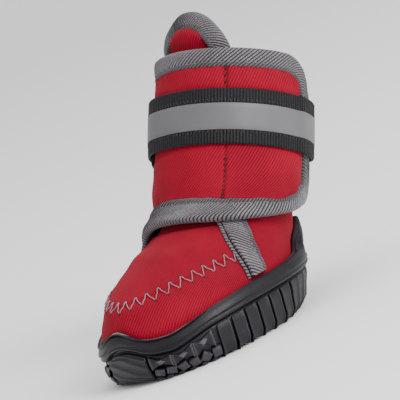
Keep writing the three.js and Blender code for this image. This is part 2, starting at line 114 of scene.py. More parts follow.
def formPoints(t, angle):
    t, angle = np.broadcast_arrays(np.asarray(t, float), np.asarray(angle, float))
    frontY, frontZ, backY, backZ, half, square = np.moveaxis(ringValues(t), -1, 0)
    turn = np.radians(angle)
    side = signedPower(np.sin(turn), 2 / square)
    ahead = signedPower(np.cos(turn), 2 / square)
    y = (frontY + backY) / 2 + ahead * (frontY - backY) / 2
    z = (frontZ + backZ) / 2 + ahead * (frontZ - backZ) / 2
    return np.stack([half * side, y, z], -1)


def unit(v):
    return v / np.maximum(np.linalg.norm(v, axis=-1, keepdims=True), 1e-12)


def dot(a, b):
    return np.sum(a * b, -1, keepdims=True)


def formSlopes(t, angle):
    t, angle = np.broadcast_arrays(np.asarray(t, float), np.asarray(angle, float))
    low = np.maximum(t - 0.02, 0)
    around = (formPoints(t, angle + 0.8) - formPoints(t, angle - 0.8)) / 1.6
    up = (formPoints(t + 0.02, angle) - formPoints(low, angle)) / (t + 0.02 - low)[..., None]
    return around, up, unit(np.cross(around, up))


def offPoints(t, angle, off):
    normal = formSlopes(t, angle)[2]
    return formPoints(t, angle) + normal * np.asarray(off, float)[..., None]


def smooth(x, low, high):
    u = np.clip((np.asarray(x, float) - low) / (high - low), 0, 1)
    return u * u * (3 - 2 * u)


def slidePlaces(t, angle, direction, distance):
    around, up, _ = formSlopes(t, angle)
    aa, au, uu = dot(around, around), dot(around, up), dot(up, up)
    ad = dot(around, direction) * distance[..., None]
    ud = dot(up, direction) * distance[..., None]
    det = aa * uu - au * au
    return t + ((aa * ud - au * ad) / det)[..., 0], angle + ((uu * ad - au * ud) / det)[..., 0]


def spanOf(rows, at):
    # a table's two columns, the row before each place, and how far it is to the next
    xs, ys = np.array(rows, float).T
    i = np.clip(np.searchsorted(xs, at) - 1, 0, len(xs) - 2)
    return xs, ys, i, np.clip((np.asarray(at, float) - xs[i]) / (xs[i + 1] - xs[i]), 0, 1)


def eased(rows, at):
    _, ys, i, u = spanOf(rows, at)
    return ys[i] + (ys[i + 1] - ys[i]) * u * u * (3 - 2 * u)


def flowing(rows, at):
    # like eased, but without a flat spot at every row
    xs, ys, i, u = spanOf(rows, at)
    step = np.diff(xs)
    slope = np.diff(ys) / step
    both = slope[:-1] * slope[1:]
    middle = np.where(both > 0, 2 * both / np.where(both > 0, slope[:-1] + slope[1:], 1), 0)
    tangent = np.concatenate([[0], middle, [0]])
    return hermite(u, ys[i], ys[i + 1], step[i] * tangent[i], step[i] * tangent[i + 1])


def lengthAlong(points):
    # how far each point is along a line through them all
    return np.concatenate([[0], np.cumsum(np.linalg.norm(np.diff(points, axis=0), axis=1))])


def splineThrough(rows, spacing):
    # even steps, in millimetres, along a smooth line through places
    keys = np.array(rows, float)
    keys = np.stack([keys[:, 1] * 0.42, keys[:, 0] * 20], -1)
    parts = []
    for k in range(len(keys) - 1):
        p0, p1, p2 = keys[max(k - 1, 0)], keys[k], keys[k + 1]
        p3 = keys[min(k + 2, len(keys) - 1)]
        v0, v1 = (p2 - p0) / 2, (p3 - p1) / 2
        u = np.linspace(0, 1, 60)[:, None]
        parts.append(hermite(u, p1, p2, v0, v1))
    line = np.concatenate(parts)
    return evenPlaces(line[:, 1] / 20, line[:, 0] / 0.42, spacing)


def evenPlaces(t, angle, spacing):
    points = formPoints(t, angle)
    run = lengthAlong(points)
    at = np.linspace(0, run[-1], max(int(run[-1] / spacing), 8) + 1)
    return np.interp(at, run, t), np.interp(at, run, angle), at


def acrossPath(t, angle, window, level=True):
    # direction across a path, to its left seen from outside, level low on the boot
    n = np.arange(len(t))
    before, after = np.maximum(n - window, 0), np.minimum(n + window, len(t) - 1)
    along = formPoints(t[after], angle[after]) - formPoints(t[before], angle[before])
    around, _, normal = formSlopes(t, angle)
    square = unit(np.cross(normal, along))
    if not level:
        return square
    around = unit(around)
    flat = around * np.sign(dot(around, square))
    across = unit(square + (flat - square) * smooth(6.8 - t, 0, 4)[:, None])
    return across / dot(across, square)


acrossSpan = 4.2  # millimetres each way over which a path's direction is taken


def besidePath(path, distance):
    # a path's places moved to its left, in two steps so that they follow the form
    t, angle, run = path
    across = acrossPath(t, angle, int(acrossSpan / (run[1] - run[0])))
    half = (distance + 0 * t) / 2
    t1, angle1 = slidePlaces(t, angle, across, half)
    return slidePlaces(t1, angle1, across, half)


def gridShape(columns, rows):
    # a flat grid of columns by rows, and the column and row of each vertex
    bm = bmesh.new()
    bmesh.ops.create_grid(bm, x_segments=columns - 1, y_segments=rows - 1, size=0.5)
    flat = np.array([v.co for v in bm.verts])
    i = np.rint((flat[:, 0] + 0.5) * (columns - 1)).astype(int)
    j = np.rint((flat[:, 1] + 0.5) * (rows - 1)).astype(int)
    return bm, i, j


def placeVerts(bm, points):
    for vert, point in zip(bm.verts, (points + [0, 0, lift]) * mm):
        vert.co = point


def layUv(bm, uv):
    # cloth coordinates in centimetres, one pair per vertex
    layer = bm.loops.layers.uv.new("cloth")
    bm.verts.index_update()
    for face in bm.faces:
        for loop in face.loops:
            loop[layer].uv = uv[loop.vert.index]


def setMask(bm, name, values):
    layer = bm.verts.layers.float.new(name)
    for vert, value in zip(bm.verts, values):
        vert[layer] = float(value)


def thicken(bm, thickness):
    # gives a sheet its wall, inwards; the inner side takes the second material
    bm.normal_update()
    outside = {v.co.to_tuple(7) for v in bm.verts}
    bmesh.ops.solidify(bm, geom=bm.faces[:], thickness=thickness * mm)
    for face in bm.faces:
        face.material_index = int(not any(v.co.to_tuple(7) in outside for v in face.verts))


def weld(bm, distance=0.004 * mm):
    bmesh.ops.remove_doubles(bm, verts=bm.verts, dist=distance)
    bmesh.ops.dissolve_degenerate(bm, edges=bm.edges, dist=distance)


def closeHoles(bm, sides=0):
    edges = [e for e in bm.edges if e.is_boundary]
    if edges:
        bmesh.ops.holes_fill(bm, edges=edges, sides=sides)


def meshFrom(bm, name):
    mesh = bpy.data.meshes.new(name)
    bm.to_mesh(mesh)
    bm.free()
    mesh.polygons.foreach_set("use_smooth", np.ones(len(mesh.polygons), bool))
    return mesh


def addObject(name, data):
    added = bpy.data.objects.new(name, data)
    bpy.context.scene.collection.objects.link(added)
    return added


def pieceFrom(bm, name, materials, nodes):
    mesh = meshFrom(bm, name)
    for material in materials:
        mesh.materials.append(material)
    piece = addObject(name, mesh)
    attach(piece, "root")
    if nodes:
        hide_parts(*nodes)
    return piece


def stamp(bm, template, points):
    # adds a copy of a small template mesh with its vertices at points
    mesh = template.copy()
    mesh.vertices.foreach_set("co", ((points + [0, 0, lift]) * mm).ravel())
    bm.from_mesh(mesh)
    bpy.data.meshes.remove(mesh)


def templateFrom(bm, name):
    mesh = meshFrom(bm, name)
    flat = np.empty(len(mesh.vertices) * 3)
    mesh.vertices.foreach_get("co", flat)
    return mesh, flat.reshape(-1, 3)


def tubeInto(bm, points, radius, sides):
    # a round thread through points, closed at its ends
    n = len(points)
    tangent = unit(np.gradient(points, axis=0))
    side = np.zeros_like(points)
    side[0] = unit(np.cross(tangent[0], [0.3, 0.2, 1.0]))
    for k in range(1, n):
        side[k] = unit(side[k - 1] - tangent[k] * np.dot(side[k - 1], tangent[k]))
    other = np.cross(tangent, side)
    grid, i, j = gridShape(n, sides + 1)
    turn = 2 * math.pi * j / sides
    ring = side[i] * np.cos(turn)[:, None] + other[i] * np.sin(turn)[:, None]
    placeVerts(grid, points[i] + ring * radius)
    bmesh.ops.remove_doubles(grid, verts=grid.verts, dist=0.0005 * mm)
    closeHoles(grid, sides + 1)
    bmesh.ops.recalc_face_normals(grid, faces=grid.faces)
    mesh = meshFrom(grid, "thread")
    bm.from_mesh(mesh)
    bpy.data.meshes.remove(mesh)


def inputOf(node, name, value):
    socket = node.inputs[name]
    if isinstance(value, bpy.types.NodeSocket):
        node.id_data.links.new(value, socket)
    else:
        socket.default_value = value


def addNode(tree, kind, settings=None, **inputs):
    node = tree.nodes.new(kind)
    for key, value in (settings or {}).items():
        setattr(node, key, value)
    for key, value in inputs.items():
        inputOf(node, key.replace("_", " "), value)
    return node


def calc(tree, operation, *values):
    node = addNode(tree, "ShaderNodeMath", {"operation": operation})
    for k, value in enumerate(values):
        inputOf(node, k, value)
    return node.outputs[0]


def times(tree, a, b):
    return calc(tree, "MULTIPLY", a, b)


def timesPlus(tree, a, b, c):
    return calc(tree, "MULTIPLY_ADD", a, b, c)


def remap(tree, value, low, high, toLow=0.0, toHigh=1.0):
    node = addNode(tree, "ShaderNodeMapRange", {"interpolation_type": "SMOOTHSTEP"})
    for name, item in zip(("Value", "From Min", "From Max", "To Min", "To Max"),
                          (value, low, high, toLow, toHigh)):
        inputOf(node, name, item)
    return node.outputs["Result"]


def mixColor(tree, factor, a, b):
    node = addNode(tree, "ShaderNodeMix", {"data_type": "RGBA"})
    for k, value in ((0, factor), (6, a), (7, b)):
        inputOf(node, k, value)
    return node.outputs[2]


def newGroup(name, inputs, outputs):
    group = bpy.data.node_groups.new(name, "ShaderNodeTree")
    for label, kind, value in inputs:
        socket = group.interface.new_socket(name=label, in_out="INPUT", socket_type=kind)
        if value is not None:
            socket.default_value = value
    for label, kind in outputs:
        group.interface.new_socket(name=label, in_out="OUTPUT", socket_type=kind)
    start = group.nodes.new("NodeGroupInput")
    end = group.nodes.new("NodeGroupOutput")
    return group, start.outputs, end.inputs


def joinTo(group, output, socket):
    group.links.new(output, socket)


def makeMottle():
    # slow and fine unevenness of a surface, from 0 to 1
    group, given, out = newGroup(
        "mottle",
        [("Vector", "NodeSocketVector", None), ("Scale", "NodeSocketFloat", 40.0),
         ("Fine Scale", "NodeSocketFloat", 600.0)],
        [("Slow", "NodeSocketFloat"), ("Fine", "NodeSocketFloat")],
    )
    slow = addNode(group, "ShaderNodeTexNoise", Vector=given["Vector"], Scale=given["Scale"], Detail=3.0)
    fine = addNode(group, "ShaderNodeTexNoise", Vector=given["Vector"], Scale=given["Fine Scale"],
                   Detail=2.0, Roughness=0.6)
    joinTo(group, remap(group, slow.outputs["Fac"], 0.3, 0.7), out["Slow"])
    joinTo(group, remap(group, fine.outputs["Fac"], 0.3, 0.7), out["Fine"])
    return group


def makeKnit():
    # diagonal rows of a fine knit face, on cloth coordinates in centimetres
    group, given, out = newGroup(
        "knitFace",
        [("Cloth", "NodeSocketVector", None), ("Rows per cm", "NodeSocketFloat", 16.0)],
        [("Rows", "NodeSocketFloat"), ("Height", "NodeSocketFloat")],
    )
    wander = addNode(group, "ShaderNodeTexNoise", Vector=given["Cloth"], Scale=3.0, Detail=2.0)
    shift = times(group, wander.outputs["Fac"], 1.2)
    parts = addNode(group, "ShaderNodeSeparateXYZ", Vector=given["Cloth"])
    x, y = parts.outputs["X"], parts.outputs["Y"]
    turn = times(group, given["Rows per cm"], 2 * math.pi)
    steep = timesPlus(group, x, 0.86, times(group, y, -0.5))
    cross = timesPlus(group, x, 0.5, times(group, y, 0.86))
    rowWave = calc(group, "SINE", timesPlus(group, steep, turn, shift))
    dotWave = calc(group, "SINE", times(group, cross, times(group, turn, 1.7)))
    both = timesPlus(group, dotWave, 0.35, rowWave)
    rows = remap(group, both, -1.2, 1.2)
    fuzz = addNode(group, "ShaderNodeTexNoise", Vector=given["Cloth"], Scale=45.0, Detail=2.0)
    joinTo(group, rows, out["Rows"])
    joinTo(group, timesPlus(group, fuzz.outputs["Fac"], 0.8, rows), out["Height"])
    return group


def makeTwill():
    # slanted ribs of a tape or webbing: cloth X runs along it, one rib per pitch
    group, given, out = newGroup(
        "ribWeave",
        [("Cloth", "NodeSocketVector", None), ("Ribs per cm", "NodeSocketFloat", 7.7),
         ("Threads per cm", "NodeSocketFloat", 26.0)],
        [("Rib", "NodeSocketFloat"), ("Thread", "NodeSocketFloat"), ("Height", "NodeSocketFloat")],
    )
    parts = addNode(group, "ShaderNodeSeparateXYZ", Vector=given["Cloth"])
    x, y = parts.outputs["X"], parts.outputs["Y"]
    wander = addNode(group, "ShaderNodeTexNoise", Vector=given["Cloth"], Scale=6.0, Detail=2.0)
    full = times(group, given["Ribs per cm"], 2 * math.pi)
    bend = timesPlus(group, wander.outputs["Fac"], 1.0, -0.5)
    wave = calc(group, "COSINE", timesPlus(group, x, full, bend))
    rib = remap(group, wave, -0.75, 0.35)
    threadTurn = times(group, given["Threads per cm"], 2 * math.pi)
    lean = timesPlus(group, x, 0.9, y)
    thread = remap(group, calc(group, "SINE", times(group, lean, threadTurn)), -1.0, 1.0)
    broken = addNode(group, "ShaderNodeTexNoise", Vector=given["Cloth"], Scale=28.0, Detail=3.0)
    mixed = times(group, thread, remap(group, broken.outputs["Fac"], 0.3, 0.7, 0.3, 1.0))
    joinTo(group, rib, out["Rib"])
    joinTo(group, mixed, out["Thread"])
    joinTo(group, timesPlus(group, mixed, 0.45, rib), out["Height"])
    return group


mottle, knitFace, ribWeave = makeMottle(), makeKnit(), makeTwill()


def startMaterial(name, roughness, **constants):
    material = bpy.data.materials.new(name)
    material.use_nodes = True
    tree = material.node_tree
    shader = tree.nodes["Principled BSDF"]
    shader.inputs["Roughness"].default_value = roughness
    for key, value in constants.items():
        shader.inputs[key.replace("_", " ")].default_value = value
    return material, tree, shader


def groupNode(tree, group, **inputs):
    return addNode(tree, "ShaderNodeGroup", {"node_tree": group}, **inputs)


def bumpInto(tree, shader, height, distance, strength=1.0):
    bump = addNode(tree, "ShaderNodeBump", Height=height, Distance=distance, Strength=strength)
    tree.links.new(bump.outputs["Normal"], shader.inputs["Normal"])


def objectCoords(tree):
    return addNode(tree, "ShaderNodeTexCoord").outputs["Object"]


def maskOf(tree, name):
    return addNode(tree, "ShaderNodeAttribute", {"attribute_name": name}).outputs["Fac"]


def clothCoords(tree):
    return addNode(tree, "ShaderNodeUVMap", {"uv_map": "cloth"}).outputs["UV"]


def makeNeoprene(name, values):
    material, tree, shader = startMaterial(
        name, values["roughness"], Specular_IOR_Level=0.06, Sheen_Weight=values["sheen"],
        Sheen_Roughness=0.5, Sheen_Tint=values["sheenTint"])
    cloud = groupNode(tree, mottle, Vector=objectCoords(tree), Scale=55.0, Fine_Scale=1500.0)
    knit = groupNode(tree, knitFace, Cloth=clothCoords(tree), Rows_per_cm=values["rowsPerCm"])
    tone = mixColor(tree, cloud.outputs["Slow"], values["deep"], values["face"])
    tone = mixColor(tree, times(tree, knit.outputs["Rows"], values["rowShow"]),
                    tone, values["light"])
    tone = mixColor(tree, times(tree, cloud.outputs["Fine"], 0.16), tone, values["deep"])
    tree.links.new(tone, shader.inputs["Base Color"])
    height = timesPlus(tree, cloud.outputs["Fine"], 0.5, knit.outputs["Height"])
    bumpInto(tree, shader, height, 0.00012, 0.55)
    return material


def makeTape(name, values):
    material, tree, shader = startMaterial(
        name, values["roughness"], Specular_IOR_Level=values["specular"], Sheen_Weight=values["sheen"])
    cloth = clothCoords(tree)
    weave = groupNode(tree, ribWeave, Cloth=cloth, Ribs_per_cm=values["ribsPerCm"],
                      Threads_per_cm=values["threadsPerCm"])
    cloud = groupNode(tree, mottle, Vector=cloth, Scale=1.4, Fine_Scale=16.0)
    ribTone = mixColor(tree, cloud.outputs["Slow"], values["rib"], values["ribAlt"])
    ribTone = mixColor(tree, times(tree, cloud.outputs["Fine"], 0.55), ribTone, values["pale"])
    # the near-black groove colour between the ribs, and between the threads below, is painted shade
    tone = mixColor(tree, weave.outputs["Rib"], values["groove"], ribTone)
    shade = times(tree, calc(tree, "SUBTRACT", 1.0, weave.outputs["Thread"]), values["threadShow"])
    tone = mixColor(tree, shade, tone, values["groove"])
    tone = mixColor(tree, times(tree, maskOf(tree, "hem"), values["hemShow"]), tone, values["groove"])
    tree.links.new(tone, shader.inputs["Base Color"])
    bumpInto(tree, shader, weave.outputs["Height"], values["depth"], 0.8)
    return material


def makeRubber(name, values):
    material, tree, shader = startMaterial(name, values["roughness"], Specular_IOR_Level=0.3)
    coords = objectCoords(tree)
    cloud = groupNode(tree, mottle, Vector=coords, Scale=90.0, Fine_Scale=2600.0)
    scuff = addNode(tree, "ShaderNodeTexNoise", Vector=coords, Scale=160.0, Detail=6.0, Roughness=0.7)
    scuffMask = remap(tree, scuff.outputs["Fac"], 0.55, 0.72)
    tone = mixColor(tree, cloud.outputs["Slow"], values["dark"], values["base"])
    tone = mixColor(tree, times(tree, scuffMask, 0.06), tone, values["dustAndHighlight"])
    # pale dust colour on raised lug edges and ridge crests: painted highlight, partly real wear
    wornAndHighlightShow = times(tree, maskOf(tree, "wornAndHighlight"), timesPlus(tree, scuffMask, 0.55, 0.4))
    tone = mixColor(tree, wornAndHighlightShow, tone, values["dustAndHighlight"])
    broken = remap(tree, cloud.outputs["Slow"], 0.2, 0.6, 0.35, 1.0)
    tone = mixColor(tree, times(tree, maskOf(tree, "glueLine"), broken), tone, values["glue"])
    tree.links.new(tone, shader.inputs["Base Color"])
    rough = timesPlus(tree, cloud.outputs["Fine"], 0.12, values["roughness"])
    rough = timesPlus(tree, scuffMask, 0.12, rough)
    tree.links.new(rough, shader.inputs["Roughness"])
    height = timesPlus(tree, scuffMask, 0.6, cloud.outputs["Fine"])
    bumpInto(tree, shader, height, 0.00006, 0.5)
    return material


def makePlainCloth(name, values):
    material, tree, shader = startMaterial(
        name, values["roughness"], Specular_IOR_Level=0.25, Sheen_Weight=values["sheen"])
    coords = objectCoords(tree)
    cloud = groupNode(tree, mottle, Vector=coords, Scale=120.0, Fine_Scale=2200.0)
    tone = mixColor(tree, cloud.outputs["Slow"], values["dark"], values["base"])
    tone = mixColor(tree, times(tree, cloud.outputs["Fine"], 0.35), tone, values["light"])
    tree.links.new(tone, shader.inputs["Base Color"])
    bumpInto(tree, shader, cloud.outputs["Fine"], 0.0001, 0.6)
    return material


def makeBand(name, values):
    material, tree, shader = startMaterial(name, values["roughness"], Specular_IOR_Level=0.4)
    cloth = clothCoords(tree)
    cloud = groupNode(tree, mottle, Vector=cloth, Scale=0.9, Fine_Scale=60.0)
    tone = mixColor(tree, cloud.outputs["Slow"], values["base"], values["light"])
    tone = mixColor(tree, times(tree, cloud.outputs["Fine"], 0.12), tone, values["dark"])
    tree.links.new(tone, shader.inputs["Base Color"])
    bumpInto(tree, shader, cloud.outputs["Fine"], 0.00003, 0.4)
    return material


redNeoprene = makeNeoprene("redNeoprene", {
    "face": (0.215, 0.0026, 0.0135, 1),
    "deep": (0.135, 0.0016, 0.009, 1),
    "light": (0.35, 0.0095, 0.031, 1),
    "rowShow": 0.6,
    "rowsPerCm": 11.0,
    "roughness": 0.78,
    "sheen": 0.12,
    "sheenTint": (1.0, 0.16, 0.18, 1),
})
greyTape = makeTape("greyTape", {
    "rib": (0.19, 0.172, 0.19, 1),
    "ribAlt": (0.13, 0.12, 0.133, 1),
    "pale": (0.38, 0.355, 0.38, 1),
    "groove": (0.020, 0.018, 0.021, 1),
    "ribsPerCm": 7.7,
    "threadsPerCm": 15.0,
    "threadShow": 0.45,
    "hemShow": 0.5,
    "specular": 0.2,
    "roughness": 0.7,
    "sheen": 0.08,
    "depth": 0.00012,
})
blackWebbing = makeTape("blackWebbing", {
    "rib": (0.012, 0.011, 0.013, 1),
    "ribAlt": (0.008, 0.0075, 0.009, 1),
    "pale": (0.035, 0.033, 0.036, 1),
    "groove": (0.002, 0.002, 0.0025, 1),
    "ribsPerCm": 11.0,
    "threadsPerCm": 22.0,
    "threadShow": 0.3,
    "hemShow": 0.0,
    "specular": 0.15,
    "roughness": 0.6,
    "sheen": 0.02,
    "depth": 0.00008,
})
moldedRubber = makeRubber("moldedRubber", {
    "base": (0.0062, 0.0050, 0.0092, 1),
    "dark": (0.0034, 0.0030, 0.0050, 1),
    # dust colour for real scuffs, also used as a painted highlight on raised edges
    "dustAndHighlight": (0.19, 0.170, 0.20, 1),
    "glue": (0.20, 0.19, 0.16, 1),
    "roughness": 0.37,
})
darkLining = makePlainCloth("darkLining", {
    "base": (0.030, 0.030, 0.034, 1),
    "dark": (0.018, 0.018, 0.02, 1),
    "light": (0.07, 0.07, 0.075, 1),
    "roughness": 0.9,
    "sheen": 0.15,
})
greyThread = makePlainCloth("greyThread", {
    "base": (0.25, 0.15, 0.16, 1),
    "dark": (0.14, 0.075, 0.085, 1),
    "light": (0.42, 0.31, 0.32, 1),
    "roughness": 0.6,
    "sheen": 0.2,
})
tapeThread = makePlainCloth("tapeThread", {
    "base": (0.13, 0.12, 0.13, 1),
    "dark": (0.08, 0.075, 0.08, 1),
    "light": (0.22, 0.21, 0.22, 1),
    "roughness": 0.7,
    "sheen": 0.1,
})
# dark thread of the flap seam, also used for the painted shade in the needle holes
darkThreadAndHoleShade = makePlainCloth("darkThreadAndHoleShade", {
    "base": (0.030, 0.008, 0.012, 1),
    "dark": (0.012, 0.004, 0.006, 1),
    "light": (0.07, 0.02, 0.03, 1),
    "roughness": 0.8,
    "sheen": 0.05,
})
bandThread = makePlainCloth("bandThread", {
    "base": (0.035, 0.034, 0.038, 1),
    "dark": (0.015, 0.015, 0.017, 1),
    "light": (0.075, 0.073, 0.08, 1),
    "roughness": 0.7,
    "sheen": 0.05,
})
reflectiveGrey = makeBand("reflectiveGrey", {
    "base": (0.10, 0.097, 0.106, 1),
    "light": (0.118, 0.115, 0.125, 1),
    "dark": (0.08, 0.077, 0.085, 1),
    "roughness": 0.5,
})
print("materials made")


sole = {
    "heelPitch": 5.6,
    "padTo": 17,  # degrees either side that the toe pad reaches
    "halfWidth": 32.0,
    "front": 43.0,
    "back": 44.0,
    "squareness": 2.35,
    "floorTop": 6.0,
    "treadBase": 1.3,
    "bandLine": 0.8,  # depth of the groove under the rim
    "ribPitch": 6.2,
    "ribWidth": 5.3,
    "ribLean": 1.2,  # how far a rib's foot is ahead of its head
    "ribsFrom": -18.0,  # y of the first rib's middle
    "ribs": 7,  # on each side
    "lugDepth": 21.0,  # millimetres of section that a lug can cover
    "toeRidges": 5,
}
# angle from the toe, ring of the rubber's edge, top and foot of the rim
rimRows = [
    (0, 2.1, 18, 12.6), (8, 1.9, 16.9, 11.6), (16, 1.55, 14.8, 9.6), (24, 1.33, 13.5, 8.4),
    (35, 1.25, 13, 8.1), (48, 1.43, 14, 9.4), (65, 1.74, 16, 11.2), (90, 1.93, 17.3, 12.1),
    (111, 1.89, 17.2, 12), (129, 1.97, 17.4, 11.9), (134.5, 2.35, 17.6, 11.8), (138, 3.4, 17.8, 11.8),
    (141, 5, 18, 11.8), (145, 6.4, 18, 11.8), (155, 6.4, 18.1, 11.8), (180, 6.25, 18.2, 12),
]
rimEdge, rimTop, rimFoot = ([(row[0], row[k]) for row in rimRows] for k in (1, 2, 3))


def wrapped(angle):
    return (np.asarray(angle, float) + 180) % 360 - 180


def fold(angle):
    return np.abs(wrapped(angle))


def solePoints(angle, given, z):
    power = 2 / sole["squareness"]
    heel = smooth(fold(angle), 95, 125) * (-0.5 + 2.9 * (1 - smooth(z, 1, 15)))
    inset = given + heel + 1.3 * (1 - smooth(fold(angle), 45, 80))
    turn = np.radians(angle)
    reach = np.where(np.cos(turn) > 0, sole["front"], sole["back"])
    x = (sole["halfWidth"] - inset) * signedPower(np.sin(turn), power)
    y = -(reach - inset) * signedPower(np.cos(turn), power)
    return np.stack(np.broadcast_arrays(x, y, z), -1).astype(float)


def raised(points):
    y, z = points[..., 1], points[..., 2]
    rise = np.where(y < -30, 2.4 * ((-30 - y) / 13) ** 2, 0) + np.where(y > 22, 5.2 * ((y - 22) / 21) ** 2, 0)
    out = points.copy()
    out[..., 2] += rise * (1 - np.minimum((z + lift) / 11, 1))
    return out


# even steps along the sole's outline
fineAngles = np.linspace(0, 360, 3601)
outline = solePoints(fineAngles, 1.0, 0.0)
outlineRun = lengthAlong(outline)
soleAround = outlineRun[-1]


def soleAngle(run):
    return np.interp(np.mod(run, soleAround), outlineRun, fineAngles)


def sectionThrough(keys, steps):
    # smooth section lines through key points; keys is (count, lines, 3)
    def length(v):
        return np.linalg.norm(v, axis=-1, keepdims=True)

    count = len(keys)
    out = []
    for k in range(count - 1):
        p0, p1, p2, p3 = keys[max(k - 1, 0)], keys[k], keys[k + 1], keys[min(k + 2, count - 1)]
        slopes = [unit(m) * np.minimum(length(m), length(p2 - p1)) for m in ((p2 - p0) / 2, (p3 - p1) / 2)]
        out += [hermite(s / steps[k], p1, p2, *slopes) for s in range(steps[k])]
    out.append(keys[-1])
    return np.array(out)


def buildSoleCup():
    lines = 420
    angle = np.interp(np.linspace(0, soleAround, lines + 1), outlineRun, fineAngles)
    edge, top, foot = (flowing(rows, fold(angle)) for rows in (rimEdge, rimTop, rimFoot))
    band = np.minimum(edge, 1.95)
    high = edge - band
    heelCup = smooth(high, 0.3, 3)

    def wallAt(t, off):
        return offPoints(t, angle, np.broadcast_to(off, t.shape))

    def skin(inset, z):
        return raised(solePoints(angle, inset, z))

    floor = wallAt(0 * edge, gap)
    floor[:, 2] = sole["floorTop"]
    middle = np.zeros((lines + 1, 3))
    middle[:, 2] = sole["floorTop"]
    under = middle.copy()
    under[:, 2] = sole["treadBase"]
    half = (top + foot) / 2
    keys = [
        (middle, 4), (floor * [0.97, 0.97, 1], 2), (floor + [0, 0, 0.4], 2), (wallAt(band * 0.55, gap), 3),
        (wallAt(band, gap), 3), (wallAt(band + high * 0.5, gap), 4), (wallAt(edge - 0.03, gap), 2),
        (wallAt(edge + 0.03, gap + 0.35), 2), (wallAt(edge + 0.02, gap + 0.95), 2),
        (wallAt(edge - 0.08, gap + 1.4 + 0.3 * heelCup), 4),
        (wallAt(band + high * 0.65, gap + 1.75 + 1.3 * heelCup), 4),
        (wallAt(band + high * 0.3 + 0.01, gap + 1.95 + 2.1 * heelCup), 3),
        (skin(1.7 - 1.6 * heelCup, top + 0.35), 2),
        (skin(0.85 - 0.75 * heelCup, top - 0.35), 3),
        (skin(0.25, top - 1.6), 4), (skin(0.45 * heelCup, half), 4),
        (skin(0.15, foot + 2.5), 2), (skin(0.75, foot + 1.75), 2),
        (skin(0.35, foot + 1.15), 2),
        (skin(0.7, foot + 0.3), 2),
        (skin(1.9 + sole["bandLine"], foot - 0.05), 2),
        (skin(1.95, foot - 0.75), 3), (skin(1.9, foot - 2.6), 3),
        (skin(2.6, 3.3), 3), (skin(4.2, sole["treadBase"]), 3),
        (skin(12, sole["treadBase"]), 3), (under, 0),
    ]
    places = sectionThrough(np.array([key[0] for key in keys]), [key[1] for key in keys])
    rows = len(places)
    bm, i, j = gridShape(lines + 1, rows)
    row = rows - 1 - j
    placeVerts(bm, places[row, i])
    # glue shows along the lip, most at the toe
    lipRow = sum(key[1] for key in keys[:8])
    lip = np.exp(-((row - lipRow) / 1.2) ** 2) * (0.1 + 0.9 * smooth(58 - fold(angle[i]), 0, 25))
    setMask(bm, "glueLine", lip * 0.9)
    weld(bm)
    bmesh.ops.recalc_face_normals(bm, faces=bm.faces)
    return pieceFrom(bm, "sole_cup", [moldedRubber], ["outsole"])


def treadSheet(run, s, h):
    # run along the outline, s from under the rim down to the underside, h from base to lug top
    angle = soleAngle(run)
    foot = flowing(rimFoot, fold(angle))
    at = np.array([0, 0.25, 0.5, 0.66, 0.76, 1.0])
    baseInset, baseZ = [2.3, 1.9, 2.6, 4.2, 6.0, 13.0], [-0.85, -2.8, 3.3, 1.3, 1.3, 1.3]
    topInset, topZ = [1.35, 0.9, 1.5, 2.9, 4.2, 13.0], [-0.9, -3.0, 1.5, 0.35 - lift, -lift, -lift]

    def height(values):
        stack = np.stack([v + (foot if k < 2 else 0 * foot) for k, v in enumerate(values)], -1)
        k = np.clip(np.searchsorted(at, s, side="right") - 1, 0, len(at) - 2)
        u = np.clip((s - at[k]) / (at[k + 1] - at[k]), 0, 1)
        pick = np.take_along_axis
        a = pick(stack, k[..., None], -1)[..., 0]
        b = pick(stack, (k + 1)[..., None], -1)[..., 0]
        return a + (b - a) * u

    toe = 0.9 * (1 - smooth(fold(angle), 24, 34)) - smooth(fold(angle), 95, 125) * smooth(s, 0.4, 0.66)
    base = raised(solePoints(angle, np.interp(s, at, baseInset), height(baseZ)))
    top = raised(solePoints(angle, np.interp(s, at, topInset) - toe, height(topZ)))
    return base + (top - base) * np.asarray(h)[..., None]


def lugTemplate(name, sides, wide, tall, cuts, edge=0.16, across=0):
    # a block standing on the sheet: x along the outline, y down the section, z outwards
    bm = bmesh.new()
    if sides == 4:
        bmesh.ops.create_cube(bm, size=1)
    else:
        bmesh.ops.create_cone(bm, cap_ends=True, segments=sides, radius1=0.66, radius2=0.66, depth=1)
        bmesh.ops.rotate(bm, verts=bm.verts, matrix=Matrix.Rotation(math.radians(90), 3, "Z"))
    bmesh.ops.scale(bm, verts=bm.verts, vec=(wide, tall, 1.1))
    top = [e for e in bm.edges if not (e.verts[0].co.z < 0 and e.verts[1].co.z < 0)]
    bmesh.ops.bevel(bm, geom=top, offset=edge, segments=2, profile=0.5, affect="EDGES", material=-1)
    slices = [((0, (k / cuts - 0.5) * tall, 0), (0, 1, 0)) for k in range(1, cuts)]
    slices += [(((k / across - 0.5) * wide, 0, 0), (1, 0, 0)) for k in range(1, across)]
    for place, normal in slices:
        geom = list(bm.verts) + list(bm.edges) + list(bm.faces)
        bmesh.ops.bisect_plane(bm, geom=geom, plane_co=place, plane_no=normal, dist=1e-5)
    bmesh.ops.recalc_face_normals(bm, faces=bm.faces)
    return templateFrom(bm, name)


